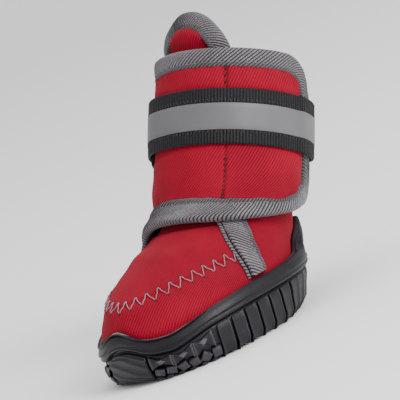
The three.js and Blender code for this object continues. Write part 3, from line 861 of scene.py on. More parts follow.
def buildLugs():
    bm = bmesh.new()
    wornAndHighlight = bm.verts.layers.float.new("wornAndHighlight")
    depth, ribWidth, ribLean = sole["lugDepth"], sole["ribWidth"], sole["ribLean"]
    low = -0.25  # a lug starts inside the sheet

    def lay(template, run, s, lean=0.0, turn=0.0, high=1.0, dip=0.0, wearAndHighlight=0.5):
        mesh, flat = template
        x, y = flat[:, 0], flat[:, 1]
        half = float(np.max(x))
        c, d = math.cos(turn), math.sin(turn)
        x, y = x * c - y * d, x * d + y * c
        down = s + y / depth
        top = high - dip * (1 - np.minimum(np.abs(flat[:, 0] / half * 1.12), 1) ** 4)
        h = low + (top - low) * np.clip((flat[:, 2] + 0.55) / 1.1, 0, 1)
        start = len(bm.verts)
        stamp(bm, mesh, treadSheet(run + x + lean * (down - 0.3), np.clip(down, 0, 1.3), h))
        # painted highlight along the upper edges, partly rubbed pale by wear
        rubbedAndHighlight = smooth(h, high - 0.14, high) * wearAndHighlight
        rubbedAndHighlight = rubbedAndHighlight * (0.08 + 0.92 * smooth(np.abs(flat[:, 0]) / half, 0.8, 0.97))
        bm.verts.ensure_lookup_table()
        for k, value in enumerate(rubbedAndHighlight):
            bm.verts[start + k][wornAndHighlight] = float(value)

    def layRib(side, run, lean, dip, ridgeHigh):
        lay(rib, side * run, 0.5, lean, high=0.93, dip=dip)
        lay(ridge, side * (run - ribWidth * 0.46), 0.5, lean, high=ridgeHigh, wearAndHighlight=0.9)

    def runAt(y):
        angles = np.linspace(1, 179, 700)
        angle = np.interp(y, solePoints(angles, 1.0, 4.0)[:, 1], angles)
        return float(np.interp(angle, fineAngles, outlineRun))

    rib = lugTemplate("rib", 4, ribWidth, depth * 0.985, 14, 0.2, 12)
    ridge = lugTemplate("ridge", 4, 0.5, depth * 0.96, 14, 0.12)
    wedge = lugTemplate("wedge", 3, 6.0, 7.4, 6, 0.2, 6)
    block = lugTemplate("block", 4, 3.6, 3.6, 4, 0.25)
    chip = lugTemplate("chip", 4, 2.2, 2.6, 3, 0.25)
    toeSide = float(np.interp(sole["padTo"], fineAngles, outlineRun))
    zoneStart = runAt(sole["ribsFrom"] - 3.4)
    for side in (1, -1):
        for k in range(sole["ribs"]):
            layRib(side, runAt(sole["ribsFrom"] + k * sole["ribPitch"]), -side * ribLean, 0.22, 1.1)
        # zigzag facets of the forefoot, and smaller blocks under them
        run, k = zoneStart - 3.2, 0
        while run > toeSide + 2:
            lay(wedge, side * run, 0.22 + 0.02 * (k % 2), turn=math.pi if k % 2 else 0.0, high=1.06,
                dip=0.18, wearAndHighlight=0.8)
            run -= 4.0
            k += 1
        run, k = zoneStart - 1.6, 0
        while run > toeSide - 2:
            swing = 0.5 * math.sin(k * 1.7) + 0.15 * math.sin(k * 2.3)
            lay(block, side * run, 0.53, turn=swing, high=0.95, wearAndHighlight=0.9)
            lay(chip, side * (run - 1.6), 0.70, turn=0.6 * math.cos(k * 1.3), wearAndHighlight=0.9)
            lay(block, side * (run - 0.4), 0.90, turn=0.35 if k % 2 else -0.35)
            run -= 4.3
            k += 1
    # more ribs round to the heel, where they fan out
    lastRun = runAt(sole["ribsFrom"] + (sole["ribs"] - 1) * sole["ribPitch"])
    fanRun = soleAround / 2 - 3 * sole["heelPitch"]
    count = round((fanRun - lastRun) / sole["heelPitch"])
    for side in (1, -1):
        for k in range(1, count):
            part = k / count
            layRib(side, lastRun + (fanRun - lastRun) * part, -side * ribLean * (1 - part), 0.2, 1.08)
    for k in range(-3, 4):
        lay(rib, soleAround / 2 + k * sole["heelPitch"], 0.5, high=0.95, dip=0.15)
    weld(bm, 0.0005 * mm)
    return pieceFrom(bm, "sole_lugs", [moldedRubber], ["outsole"])


def buildToePad():
    # the ridged pad under the toe bumper, between its two notches
    bm, i, j = gridShape(71, 61)
    reach = float(np.interp(sole["padTo"], fineAngles, outlineRun)) - 0.8
    u, v = i / 70, j / 60
    run = (u * 2 - 1) * reach
    arch = 0.05 * (u * 2 - 1) ** 2
    wave = np.sin((v + 0.35 * (u - 0.5) - arch) * 2 * math.pi * sole["toeRidges"] * 1.15)
    h = 0.88 + 0.10 * signedPower(wave, 0.8)
    edge = np.minimum.reduce([u, 1 - u, v * 0.8, (1 - v)]) * 40
    h = -0.2 + (h + 0.2) * smooth(edge, 0, 0.9)
    placeVerts(bm, treadSheet(run, np.clip(1.02 - v * 1.0, 0, 1.2), h))
    # ridge crests painted lighter: partly wear, partly a painted highlight
    setMask(bm, "wornAndHighlight", 0.12 * smooth(wave, 0.4, 1.0))
    bmesh.ops.recalc_face_normals(bm, faces=bm.faces)
    bmesh.ops.solidify(bm, geom=bm.faces[:], thickness=0.4 * mm)
    bmesh.ops.recalc_face_normals(bm, faces=bm.faces)
    return pieceFrom(bm, "toe_pad", [moldedRubber], ["outsole"])


def buildUnderBars():
    # bars across the underside, in line with the side lugs
    bm = bmesh.new()
    bmesh.ops.create_cube(bm, size=1)
    bmesh.ops.bevel(bm, geom=[e for e in bm.edges if e.verts[0].co.z < 0 and e.verts[1].co.z < 0],
                    offset=0.1, segments=2, profile=0.5, affect="EDGES", material=-1)
    mesh, flat = templateFrom(bm, "bar")
    bm = bmesh.new()
    for k in range(sole["ribs"]):
        y = sole["ribsFrom"] + k * sole["ribPitch"]
        wide = 38 - 0.03 * (y + 2) ** 2
        stamp(bm, mesh, flat * [wide, sole["ribWidth"] - 0.3, 3.4] + [0, y, 1.7 - lift])
    stamp(bm, mesh, flat * [27, 4.4, 3.4] + [0, -24.2, 1.7 - lift])
    for x in (-9, 0, 9):
        stamp(bm, mesh, flat * [5.2, 6.5, 3.4] + [x, 25.8, 1.9 - lift])
    setMask(bm, "wornAndHighlight", np.full(len(bm.verts), 0.12))
    return pieceFrom(bm, "under_bars", [moldedRubber], ["outsole"])


buildSoleCup()
buildLugs()
buildToePad()
buildUnderBars()
print("sole made")


def buildInsole():
    bm, i, j = gridShape(121, 14)
    angle, v = i * 3.0, j / 13
    rim = offPoints(0.15 + 0 * angle, angle, -wall - gap + 0 * angle)
    reach = 1 - smooth(v, 0, 0.82)
    low, high = sole["floorTop"] + gap, sole["floorTop"] + gap + 2.3
    z = np.where(j == 0, low, high - 0.5 * (j == 1) - 0.35 * smooth(v, 0.2, 1.0))
    scale = np.where(j < 2, 1.0, np.where(j == 2, 0.985, reach))
    placeVerts(bm, np.stack([rim[:, 0] * scale, rim[:, 1] * scale, z], -1))
    weld(bm)
    closeHoles(bm)
    bmesh.ops.recalc_face_normals(bm, faces=bm.faces)
    return pieceFrom(bm, "insole_pad", [darkLining], ["insole"])


buildInsole()


seam = {
    "rows": [(-90, 4.14), (-78, 4.1), (-65, 3.95), (-45, 3.6), (-25, 3.3), (0, 3.1), (25, 3.3), (45, 3.6),
             (65, 3.95), (78, 4.1), (90, 4.14)],
    "depth": 0.5,
    "pitch": 4.4,
    "reach": 2.2,  # half height of the zigzag
    "thread": 0.18,
}
# soft troughs of the vamp: from ring and angle, to ring and angle, half width and depth
vampCreases = [
    (5.9, -30, 5.6, 25, 3.2, 0.5),
    (2.3, 18, 3.0, 42, 3.0, 0.3),
    (2.3, -20, 2.9, -34, 3.0, 0.2),
    (4.7, 40, 3.9, 66, 2.6, 0.35),
    (4.8, -34, 4.1, -52, 3.2, 0.15),
    (6.0, 120, 5.2, 92, 3.5, 0.35),
    (5.9, -120, 5.2, -95, 3.5, 0.35),
]


def creaseRelief(points, creases):
    out = np.zeros(len(points))
    for t0, a0, t1, a1, width, depth in creases:
        line = formPoints(np.linspace(t0, t1, 9), np.linspace(a0, a1, 9))
        near = np.min(np.linalg.norm(points[:, None] - line[None], axis=-1), axis=1)
        # a trough with a low ridge beside it
        out -= depth * np.exp(-(near / width) ** 2)
        out += 0.45 * depth * np.exp(-((near - 2.1 * width) / width) ** 2)
    return out


def seamT(angle):
    rows = np.array(seam["rows"])
    return np.interp(angle, rows[:, 0], rows[:, 1])


quarterRows = [(6.95, 40), (6.36, 49.5), (5.7, 59), (4.96, 68.9), (4.33, 76.5), (3.72, 82.3), (2.88, 87.7),
               (2.16, 89.7)]
flapOutline = [
    (10.03, -116), (10.03, -95), (10.03, -60), (10.03, -20), (10.03, 20), (10.03, 60), (10.03, 88),
    (10.0, 101), (9.88, 113), (9.66, 122.5), (9.33, 128.5), (8.95, 130.5), (8.5, 130.5), (7.95, 129.5),
    (7.35, 124), (6.88, 115), (6.55, 104), (6.34, 88), (6.24, 65), (6.3, 42), (6.44, 20), (6.5, -2),
    (6.44, -20), (6.22, -37), (5.86, -51), (5.4, -61), (4.9, -69.5), (4.33, -76.5), (3.72, -82.3),
    (2.9, -87.6), (2.16, -89.7),
]


def upperRelief(t, angle):
    turn = wrapped(angle)
    points = formPoints(t, angle)
    up = np.linalg.norm(formSlopes(t, angle)[1], axis=-1)
    away = (t - seamT(turn)) * up
    live = smooth(86 - np.abs(turn), 0, 8)
    relief = live * (0.35 * np.exp(-(away / 3.6) ** 2) - seam["depth"] * np.exp(-(away / 0.75) ** 2))
    relief += creaseRelief(points, vampCreases)
    relief += 0.35 * live * smooth(t, 2.4, 3.0) * (1 - smooth(t, 5.4, 6.4))
    # held in under the tapes, the rubber and the flap
    quarter = np.array(quarterRows)
    front = np.interp(t, quarter[::-1, 0], quarter[::-1, 1])
    tape = smooth(np.abs(turn), front - 5, front - 1) * (1 - smooth(np.abs(turn), front + 20, front + 27))
    cover = np.maximum(tape * (t < 7.2), smooth(t, 6.2, 6.9))
    edge = flowing(rimEdge, fold(angle))
    cover = np.maximum(cover, 1 - smooth((t - edge) * up, -1.0, 2.0))
    return np.clip(relief * (1 - cover), -1.2, 0.9)


def buildUpper():
    wallTop = float(ringAt(shaft["top"] + 0.7 - 7 - gap)) + 0.02
    rows = np.unique(np.concatenate([
        np.linspace(0, 1.2, 5), np.linspace(1.2, 5.0, 62), np.linspace(5.0, throatBottom, 14),
        np.linspace(throatBottom, wallTop, 24),
    ]))
    angles = np.unique(np.concatenate([
        np.linspace(-throatHalf, throatHalf, 150), np.linspace(throatHalf, 360 - throatHalf, 190)]))
    bm, i, j = gridShape(len(angles), len(rows))
    t, angle = rows[j], angles[i]
    points = offPoints(t, angle, upperRelief(t, angle))
    points[:, 2] = np.where(j == 0, sole["floorTop"] + gap, points[:, 2])
    placeVerts(bm, points)
    run = lengthAlong(formPoints(4.0, angles))
    rise = lengthAlong(formPoints(rows, 60.0))
    layUv(bm, np.stack([run[i], rise[j]], -1) / 10)
    inThroat = (fold(angle) <= throatHalf + 0.01) & (t >= throatBottom - 1e-6)
    throat = [f for f in bm.faces if all(inThroat[v.index] for v in f.verts)]
    bmesh.ops.delete(bm, geom=throat, context="FACES")
    weld(bm, 0.002 * mm)
    thicken(bm, wall)
    return pieceFrom(bm, "vamp_and_quarters", [redNeoprene, darkLining], ["upper"])


buildUpper()
print("upper made")


tongue = {
    "half": 50.6,
    "sink": 0.5,
    "neck": 31.6,
    "foot": shaft["top"] - 11.6,
}
# its tape's outer edge on the left side: station along the shaft and angle
tongueEdge = [
    (tongue["foot"], 50.6), (88, 50.6), (92.4, 49.6), (96.3, 46.8), (99.9, 42), (103.2, 36), (106.7, 27),
    (109.2, 16.7), (110.3, 6),
]
tongueRows = tongueEdge + [(station, -angle) for station, angle in reversed(tongueEdge)]
tonguePath = splineThrough([(float(ringAt(station)), angle) for station, angle in tongueRows], 0.5)


def tongueOff(t):
    # the free top bows outwards a little
    return 1.6 * smooth(t, 10.06, 10.24) * (1 - smooth(t, 10.36, 10.64))


def buildTongue():
    neck = tongue["neck"]
    inner = np.linspace(-neck + 0.1, neck - 0.1, 85)
    wing = np.linspace(neck + 0.4, tongue["half"], 16)
    angles = np.concatenate([-wing[::-1], inner, wing])
    insideT, insideA = besidePath(tonguePath, 6.4)
    steps = 50
    top = np.empty(len(angles))
    for k, a in enumerate(angles):
        crosses = (insideA[:-1] - a) * (insideA[1:] - a) <= 0
        tall = np.max(insideT[:-1][crosses]) if crosses.any() else 0
        top[k] = tall if abs(a) < neck else float(ringAt(tongue["foot"] - 0.5))
    bm, i, j = gridShape(len(angles), steps)
    low = throatBottom + 0.05
    t = low + (top[i] - low) * j / (steps - 1)
    placeVerts(bm, offPoints(t, angles[i], -tongue["sink"] + tongueOff(t)))
    layUv(bm, np.stack([angles[i] * 0.4, t * 18], -1) / 10)
    thicken(bm, wall)
    return pieceFrom(bm, "tongue_panel", [redNeoprene, darkLining], ["tongue"])


buildTongue()


# folded tape section: side from the fold to the inner edge, rise from its under face
tapeProfile = np.array([
    (0.0, 0.5), (0.0, 0.68), (0.028, 0.84), (0.085, 0.95), (0.17, 1.0), (0.28, 1.02), (0.4, 1.01),
    (0.52, 0.99), (0.63, 0.96), (0.71, 0.92), (0.76, 0.84), (0.81, 0.90), (0.87, 0.93), (0.93, 0.92),
    (0.975, 0.86), (1.0, 0.7), (1.0, 0.35), (1.0, 0.1), (0.96, 0.02), (0.8, 0.0), (0.55, 0.0), (0.3, 0.0),
    (0.1, 0.05), (0.03, 0.16), (0.0, 0.33),
])
webProfile = np.array([
    (0.0, 0.5), (0.003, 0.8), (0.02, 0.95), (0.045, 1.0), (0.075, 0.97), (0.1, 1.0), (0.14, 1.0),
    (0.19, 1.0), (0.24, 1.0), (0.27, 0.97), (0.5, 0.97), (0.73, 0.97), (0.76, 1.0), (0.81, 1.0),
    (0.86, 1.0), (0.9, 1.0), (0.925, 0.97), (0.955, 1.0), (0.98, 0.95), (0.997, 0.8), (1.0, 0.5),
    (0.99, 0.1), (0.9, 0.0), (0.5, 0.0), (0.1, 0.0), (0.01, 0.1),
])
bandProfile = np.array([
    (0, 0.2), (0, 0.8), (0.015, 1.0), (0.2, 1.0), (0.4, 1.0), (0.6, 1.0), (0.8, 1.0), (0.985, 1.0),
    (1, 0.8), (1, 0.2), (0.5, 0.0),
])
pipingProfile = np.array([
    (0.0, 0.4), (0.03, 0.7), (0.15, 0.93), (0.35, 1.0), (0.6, 1.0), (0.82, 0.93), (0.97, 0.7), (1.0, 0.4),
    (0.9, 0.05), (0.5, 0.0), (0.1, 0.05),
])


def buildTape(name, path, width, offs, values, material, node, profile=tapeProfile):
    # path is t, angle and run of even places; width and offs give values along it
    t, angle, run = path
    widths = width(t, angle, run)
    low, high = offs(t, angle, run)
    lines = [besidePath(path, side * widths) for side in profile[:, 0]]
    slant, pitch, amount = values["slant"], values["pitch"], values["rib"]
    spread = abs(slant) * float(np.max(widths))
    step = pitch / values["perRib"]
    count = int((run[-1] + spread) / step) + 2
    base = np.arange(count) * step - (spread if slant > 0 else 0)
    m = len(profile)
    bm, i, j = gridShape(count, m + 1)
    j = j % m
    at = np.clip(base[i] + slant * profile[j, 0] * np.interp(base[i], run, widths), 0, run[-1])
    tt, aa = np.empty(len(i)), np.empty(len(i))
    for k, (lineT, lineA) in enumerate(lines):
        pick = j == k
        tt[pick] = np.interp(at[pick], run, lineT)
        aa[pick] = np.interp(at[pick], run, lineA)
    lows, highs = np.interp(at, run, low), np.interp(at, run, high)
    phase = base[i] / pitch
    ribNumber = np.floor(phase + 0.5)
    uneven = 1 + 0.25 * np.sin(ribNumber * 2.4) * np.cos(ribNumber * 0.7)
    wave = np.cos(2 * math.pi * phase) * amount * uneven
    inEnds = smooth(np.minimum(at, run[-1] - at), 0, 0.6)
    rise = profile[j, 1]
    off = lows + rise * (highs - lows) + wave * smooth(rise, 0.3, 0.9) * inEnds
    placeVerts(bm, offPoints(tt, aa, off))
    layUv(bm, np.stack([base[i], j * 0.9], -1) / 10)
    if profile is tapeProfile:
        setMask(bm, "hem", smooth(profile[j, 0], 0.74, 0.8) * smooth(rise, 0.3, 0.8))
    weld(bm, 0.003 * mm)
    closeHoles(bm)
    bmesh.ops.recalc_face_normals(bm, faces=bm.faces)
    return pieceFrom(bm, name, [material], [node])


edgeTape = {
    "width": 7.0,
    "pitch": 1.25,
    "rib": 0.1,
    "slant": 1.0,
    "perRib": 5,  # rows of faces to a rib
}
flapTapeRows = [
    (-90, 7.2), (-76, 8.0), (-58, 8.6), (-40, 9.0), (-20, 10.5), (0, 10.8), (20, 10.6), (40, 9.9), (60, 7.9),
    (80, 6.1), (100, 4.8), (115, 5.0), (124, 5.9),
]


def flapTapeWidth(t, angle, run):
    high = edgeTape["width"] * (1 - 0.16 * smooth(angle, 100, 124))
    return high + (eased(flapTapeRows, angle) - high) * smooth(8.2 - t, 0, 1.4)


def quarterWidth(t, angle, run):
    return 8.4 - 1.4 * smooth(6 - t, 0, 3.5)


def quarterOffs(t, angle, run):
    return gap + 0 * t, 2.4 - 1.3 * smooth(t, 5.3, 6.2)


def even(width):
    # the same width all along a tape
    return lambda t, angle, run: width + 0 * t


def between(low, high):
    # the same under face and upper face all along a tape
    return lambda t, angle, run: (low + 0 * t, high + 0 * t)


def flapTapeOffs(t, angle, run):
    down = smooth(-angle, 32, 66)
    low = np.where(t > 9.6, 0.95, 1.55 - 1.2 * down)
    high = np.where(t > 9.6, 1.9 + 3.1 * smooth(angle, -118, -95), 5.0 - 2.6 * down)
    pucker = 0.10 * np.sin(run * 0.9) * np.sin(run * 0.37 + 1)
    return low, high + pucker


flapPath = splineThrough(flapOutline[::-1], 0.5)
quarterPath = splineThrough(quarterRows, 0.5)
collarAngles = np.linspace(360 - throatHalf, throatHalf, 300)
collarPath = evenPlaces(float(ringAt(shaft["top"] + 0.7)) + 0 * collarAngles, collarAngles, 0.5)


def tongueOffs(t, angle, run):
    return -tongue["sink"] - wall - 0.6 + tongueOff(t), -tongue["sink"] + 0.6 + tongueOff(t)


evenTape = even(edgeTape["width"])
collarOffs = between(-wall - 0.5, 0.55)
buildTape("tongue_tape", tonguePath, evenTape, tongueOffs, edgeTape, greyTape, "tongue_binding")
buildTape("collar_tape", collarPath, evenTape, collarOffs, edgeTape, greyTape, "collar_binding")
buildTape("flap_tape", flapPath, flapTapeWidth, flapTapeOffs, edgeTape, greyTape, "flap_binding")
buildTape("quarter_tape", quarterPath, quarterWidth, quarterOffs, dict(edgeTape, slant=0.75, pitch=1.2),
          greyTape, "quarter_binding")
print("tapes made")


flapShape = {
    "lift": 1.6,
    "face": 0.8,  # its outer face above its lift
    "puff": 0.45,
    "tuck": 0.6,  # how far the panel runs in under its tape
}
flapCreases = [
    (9.7, -30, 9.5, 10, 2.5, 0.3),
    (7.4, 60, 7.7, 96, 3.0, 0.45),
    (7.0, -20, 7.5, -48, 3.0, 0.5),
    (9.6, 92, 9.45, 116, 2.2, 0.3),
    (7.3, 100, 8.2, 112, 2.6, 0.35),
]


def flapSurface(angle):
    # the panel's outer face; it comes down to the wall where it is sewn on
    high, face = flapShape["lift"] - gap, flapShape["face"]
    return gap + high * smooth(angle, -100, -62) + face + (wall - face) * smooth(angle, -116, -98)


def buildFlap():
    insideT, insideA = besidePath(flapPath, flapTapeWidth(*flapPath) + gap - flapShape["tuck"])

    def edgeOf(pick):
        order = np.argsort(insideA[pick])
        return insideA[pick][order], insideT[pick][order]

    underA, underT = edgeOf((insideT < 8.3) & (insideT > 4.1) & (insideA < 114))
    overA, overT = edgeOf((insideT > 9.2) & (insideA < 114))
    angles = np.concatenate([np.linspace(-116, 98, 250), np.linspace(98.6, 112.8, 26)])
    low = np.where(angles < -91, 7.2 - (angles + 116) / 25 * 2.6, np.interp(angles, underA, underT))
    high = np.interp(angles, overA, overT)
    rows = 64
    bm, i, j = gridShape(len(angles), rows)
    v = j / (rows - 1)
    tt, aa = low[i] + (high[i] - low[i]) * v, angles[i]
    points = formPoints(tt, aa)
    edge = np.minimum.reduce([v, 1 - v, (angles[i] + 116) / 20, (113 - angles[i]) / 14])
    puff = flapShape["puff"] * smooth(edge, 0, 0.16)
    stitch = np.exp(-((aa - 44) * 0.47 / 0.55) ** 2)
    waves = 0.10 * np.sin(aa * 0.55) * (np.exp(-(v / 0.12) ** 2) + np.exp(-((1 - v) / 0.1) ** 2))
    off = flapSurface(aa) + puff + creaseRelief(points, flapCreases) - 0.55 * stitch + waves
    # pressed flat under the strap
    under = smooth(tt, float(ringAt(58)), float(ringAt(61)))
    under = under * (1 - smooth(tt, float(ringAt(80)), float(ringAt(83))))
    off = off - under * np.maximum(puff - 0.1, 0) - under * 0.15
    hug = smooth(-aa, 30, 60) * (1 - smooth(v, 0.03, 0.26))  # down into the tape beside the throat
    off = off + (1.75 - off) * hug
    placeVerts(bm, offPoints(tt, aa, off))
    layUv(bm, np.stack([aa * 0.46, tt * 18], -1) / 10)
    thicken(bm, 1.0)
    return pieceFrom(bm, "flap_panel", [redNeoprene, darkLining], ["flap"])


buildFlap()
print("flap made")


strap = {
    "width": 20.6,
    "thick": 1.2,
    "start": -40,
    "turn": 416,
    "band": 9.6,
}
strapHeight = [
    (-180, 0.4), (-142, 0.4), (-122, 1.6), (-110, 2.5), (-98, 3.6), (-80, 3.95), (-60, 4.4), (100, 4.4),
    (109, 5.2), (133, 5.2), (152, 2.4), (168, 0.4), (180, 0.4),
]
strapTurn = np.linspace(0, strap["turn"], 900)
strapDrop = 2.6 * (1 - smooth(strapTurn, 30, 120))
strapPath = evenPlaces(ringAt(70.4 + strap["width"] / 2 - strapDrop), strap["start"] - strapTurn, 0.5)


def strapLow(angle):
    # height of the webbing's under face; its free end lies over its start
    turn = strap["start"] - angle
    return eased(strapHeight, wrapped(angle)) + (strap["thick"] + 0.05) * smooth(turn, 322, 350)


def aboveStrap(low, high):
    return lambda t, angle, run: (strapLow(angle) + low, strapLow(angle) + high)


buildTape("strap_webbing", strapPath, even(strap["width"]), aboveStrap(0, strap["thick"]),
          {"pitch": 0.91, "rib": 0.07, "slant": 0.0, "perRib": 4}, blackWebbing, "strap",
          webProfile)


bandPath = (*besidePath(strapPath, (strap["width"] - strap["band"]) / 2), strapPath[2])
buildTape("reflective_band", bandPath, even(strap["band"]),
          aboveStrap(strap["thick"] - 0.15, strap["thick"] + 0.24),
          {"pitch": 1.2, "rib": 0.0, "slant": 0.0, "perRib": 3}, reflectiveGrey, "strap",
          bandProfile)
print("strap made")


def buildZigzag():
    angles = np.linspace(-79, 79, 500)
    t, angle, run = evenPlaces(seamT(angles), angles, 0.05)
    across = acrossPath(t, angle, 60, level=False)

    def wayAcross(at):
        return unit(np.stack([np.interp(at, run, across[:, k]) for k in range(3)], -1))

    bm = bmesh.new()
    hole = bmesh.new()
    bmesh.ops.create_icosphere(hole, subdivisions=2, radius=1.0)
    holeMesh, ball = templateFrom(hole, "needleHoleShade")
    holes = bmesh.new()
    half = seam["pitch"] / 2
    count = int(run[-1] / half)
    corners = []
    for k in range(count + 1):
        at = k * half + rng.uniform(-0.12, 0.12)
        reach = seam["reach"] * (1 if k % 2 else -1) * rng.uniform(0.93, 1.05)
        corners.append((at, reach))
    points, heights = [], []
    for (at0, r0), (at1, r1) in zip(corners[:-1], corners[1:]):
        for u in np.linspace(0, 1, 11)[:-1]:
            bow = 0.22 * math.sin(math.pi * u) * (1 if r1 > r0 else -1)
            points.append((at0 + (at1 - at0) * u + bow, r0 + (r1 - r0) * u))
            heights.append(-0.25 + 0.62 * math.sin(math.pi * u) ** 0.55)
    points = np.array(points)
    at = np.clip(points[:, 0], 0, run[-1])
    tt, aa = np.interp(at, run, t), np.interp(at, run, angle)
    zt, za = slidePlaces(tt, aa, wayAcross(at), points[:, 1])
    relief = upperRelief(zt, za)
    tubeInto(bm, offPoints(zt, za, relief + np.array(heights)), seam["thread"], 8)
    pieceFrom(bm, "zigzag_thread", [greyThread], ())
    # dark spots at the zigzag's corners: painted shade of the needle holes
    for at0, r0 in corners:
        at0 = min(max(at0, 0), run[-1])
        ht, ha = np.array([np.interp(at0, run, t)]), np.array([np.interp(at0, run, angle)])
        ht, ha = slidePlaces(ht, ha, wayAcross(at0)[None], np.array([r0 * 1.07]))
        centre = offPoints(ht, ha, upperRelief(ht, ha) + 0.02)[0]
        around, _, normal = (unit(v)[0] for v in formSlopes(ht, ha))
        size = rng.uniform(0.34, 0.46)
        shape = (ball[:, :1] * around * size + ball[:, 1:2] * np.cross(normal, around) * size * 1.15
                 + ball[:, 2:] * normal * 0.16)
        stamp(holes, holeMesh, centre + shape)
    pieceFrom(holes, "needle_hole_shade", [darkThreadAndHoleShade], ())


def buildFlapSeam():
    # short dark stitches down the flap's front seam, above and below the strap
    bm = bmesh.new()
    for low, high in ((36.5, 57.5), (82.5, 88.0)):
        station = low
        while station < high:
            ends = np.array([station, station + 1.35])
            tt = ringAt(np.linspace(*ends, 7))
            aa = 44 + np.linspace(-0.5, 0.5, 7) * 1.1 + rng.uniform(-0.3, 0.3)
            sunk = -0.42 + 0.3 * np.sin(np.linspace(0, math.pi, 7))
            tubeInto(bm, offPoints(tt, aa, flapSurface(aa) + flapShape["puff"] + sunk), 0.26, 6)
            station += 2.35
    return pieceFrom(bm, "flap_seam", [darkThreadAndHoleShade], ())


tapeStitch = {
    "pitch": 2.7,
    "share": 0.62,  # of the pitch that shows as thread
    "side": 0.76,  # across the tape, from its fold
    "thread": 0.17,
}


def buildTapeStitches():
    # a row of stitches along each tape's inner edge
    bm = bmesh.new()
    every = tapeStitch["pitch"]
    for path, width, offs in (
        (flapPath, flapTapeWidth, flapTapeOffs), (quarterPath, quarterWidth, quarterOffs),
        (tonguePath, evenTape, tongueOffs), (collarPath, evenTape, collarOffs),
    ):
        run = path[2]
        lineT, lineA = besidePath(path, tapeStitch["side"] * width(*path))
        low, high = offs(*path)
        at = every
        while at < run[-1] - every:
            span = np.linspace(at, at + every * tapeStitch["share"], 6)
            tt, aa = np.interp(span, run, lineT), np.interp(span, run, lineA)
            top = np.interp(span, run, low + (high - low) * 0.86)
            bow = 0.12 * np.sin(np.linspace(0, math.pi, 6)) - 0.02
            tubeInto(bm, offPoints(tt, aa, top + bow), tapeStitch["thread"], 6)
            at += every
    return pieceFrom(bm, "tape_stitches", [tapeThread], ())


piping = {
    "width": 1.3,
    "ahead": 1.45,  # of the tape's fold
    "pitch": 0.95,
    "rib": 0.09,
    "slant": 0.5,
    "perRib": 5,
}


def buildPiping(name, rows):
    # a narrow ribbed edge just ahead of a quarter's tape
    quarterEdge = splineThrough(rows, 0.4)
    sign = 1.0 if quarterEdge[1][0] > 0 else -1.0
    lineT, lineA = besidePath(quarterEdge, -sign * piping["ahead"])
    if sign < 0:
        lineT, lineA = lineT[::-1], lineA[::-1]
    path = evenPlaces(lineT, lineA, 0.4)
    return buildTape(name, path, even(piping["width"]), between(0.05, 0.95), piping, greyTape,
                     "quarter_binding", pipingProfile)


bandStitch = {
    "pitch": 1.25,
    "long": 0.9,
    "lean": 0.25,
    "beside": 0.55,  # gap between the band and its stitches
    "thread": 0.12,
}


def buildBandStitches():
    # short cross stitches that hold the band to the webbing
    bm = bmesh.new()
    run = strapPath[2]
    u = np.linspace(0, 1, 5)
    for way in (-1, 1):
        side = strap["width"] / 2 + way * (strap["band"] / 2 + bandStitch["beside"])
        lineT, lineA = besidePath(strapPath, side)
        endT, endA = besidePath(strapPath, side + way * bandStitch["long"])
        at = 1.0
        while at < run[-1] - 1:
            ahead = at + bandStitch["lean"]
            tt = np.interp(at, run, lineT) * (1 - u) + np.interp(ahead, run, endT) * u
            aa = np.interp(at, run, lineA) * (1 - u) + np.interp(ahead, run, endA) * u
            top = strapLow(aa) + strap["thick"] - 0.02 + 0.12 * np.sin(u * math.pi)
            tubeInto(bm, offPoints(tt, aa, top), bandStitch["thread"], 5)
            at += bandStitch["pitch"]
    return pieceFrom(bm, "band_stitches", [bandThread], ())


buildZigzag()
buildFlapSeam()
buildTapeStitches()
buildPiping("quarter_piping", quarterRows)
buildPiping("far_piping", [(t, -a) for t, a in quarterRows[2:]])
buildBandStitches()
print("threads made")


view = {
    "azimuth": 49.43,  # about the shaft's own axis
    "rise": -11.08,
    "lean": 29.39,
    "roll": 0.79,
    "target": (0.0, 20.0, 50.0),  # before the lift
    "distance": 1224.0,
    "fieldWidth": 140.0,  # millimetres seen across at the target
    "sensor": 36.0,
    "shiftUp": -5.0,
}


def viewAxes():
    lean, azimuth = math.radians(view["lean"]), math.radians(view["azimuth"])
    rise, roll = math.radians(view["rise"]), math.radians(view["roll"])
    ahead = Vector((0, -math.cos(lean), math.sin(lean)))
    axis = Vector((0, math.sin(lean), math.cos(lean)))
    side = Vector((1, 0, 0))
    towards = math.cos(rise) * (math.sin(azimuth) * side + math.cos(azimuth) * ahead) + math.sin(rise) * axis
    right = math.cos(azimuth) * side - math.sin(azimuth) * ahead
    up = towards.cross(right)
    turned = math.cos(roll) * right + math.sin(roll) * up
    return turned.normalized(), towards.cross(turned).normalized(), towards.normalized()


def placeCamera():
    right, up, towards = viewAxes()
    aim = Vector(view["target"]) + Vector((0, 0, lift)) + up * view["shiftUp"]
    data = bpy.data.cameras.new("camera")
    data.sensor_width = view["sensor"]
    data.lens = view["sensor"] * view["distance"] / view["fieldWidth"]
    data.clip_start = 0.05
    data.clip_end = 50
    camera = addObject("camera", data)
    turn = Matrix((right, up, towards)).transposed().to_4x4()
    camera.matrix_world = Matrix.Translation((aim + towards * view["distance"]) * mm) @ turn
    bpy.context.scene.camera = camera


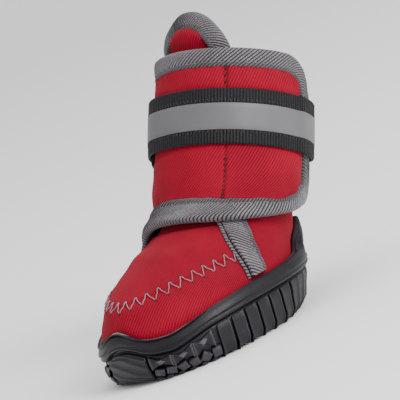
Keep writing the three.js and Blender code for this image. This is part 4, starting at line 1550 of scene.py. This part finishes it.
def addLight(name, place, size, power, color):
    data = bpy.data.lights.new(name, "AREA")
    data.shape = "RECTANGLE"
    data.size, data.size_y = size
    data.energy = power
    data.color = color
    light = addObject(name, data)
    aim = Vector((0, 0.01, 0.045))
    light.location = place
    light.rotation_euler = (Vector(place) - aim).to_track_quat("Z", "Y").to_euler()


def buildFloor():
    # one pale sweep: a flat floor that curves up behind
    bm = bmesh.new()
    rows = [(-3.0, 0.0), (-1.0, 0.0), (1.2, 0.0)]
    rows += [(1.2 + 1.2 * math.sin(a), 1.2 - 1.2 * math.cos(a)) for a in np.radians(np.arange(7.5, 91, 7.5))]
    rows += [(2.4, 4.5)]
    _, _, towards = viewAxes()
    back = Vector((-towards.x, -towards.y, 0)).normalized()
    side = Vector((0, 0, 1)).cross(back)
    verts = [bm.verts.new(-4 * side + back * d + Vector((0, 0, h))) for d, h in rows]
    edges = [bm.edges.new(pair) for pair in zip(verts[:-1], verts[1:])]
    made = bmesh.ops.extrude_edge_only(bm, edges=edges)["geom"]
    bmesh.ops.translate(bm, verts=[g for g in made if isinstance(g, bmesh.types.BMVert)], vec=side * 8)
    bmesh.ops.recalc_face_normals(bm, faces=bm.faces)
    mesh = meshFrom(bm, "floor")
    material, tree, shader = startMaterial("paleFloor", 0.9, Specular_IOR_Level=0.1)
    cloud = groupNode(tree, mottle, Vector=objectCoords(tree), Scale=3.0, Fine_Scale=60.0)
    tone = mixColor(tree, cloud.outputs["Slow"], (0.95, 0.95, 0.955, 1), (0.97, 0.97, 0.975, 1))
    tree.links.new(tone, shader.inputs["Base Color"])
    mesh.materials.append(material)
    floor = addObject("floor", mesh)


def setWorld():
    world = bpy.data.worlds.new("studio")
    world.use_nodes = True
    background = world.node_tree.nodes["Background"]
    background.inputs["Color"].default_value = (1.0, 1.0, 1.0, 1)
    background.inputs["Strength"].default_value = 0.82
    bpy.context.scene.world = world


buildFloor()
setWorld()
placeCamera()
addLight("key", (1.1, 0.05, 0.7), (0.6, 0.6), 19, (1.0, 0.985, 0.975))
addLight("fill", (-0.3, -1.1, 0.5), (0.9, 0.9), 1.5, (0.98, 0.98, 1.0))
addLight("top", (0.1, 0.2, 1.3), (1.0, 1.0), 8, (1.0, 1.0, 1.0))
print("floor, lights and camera set")
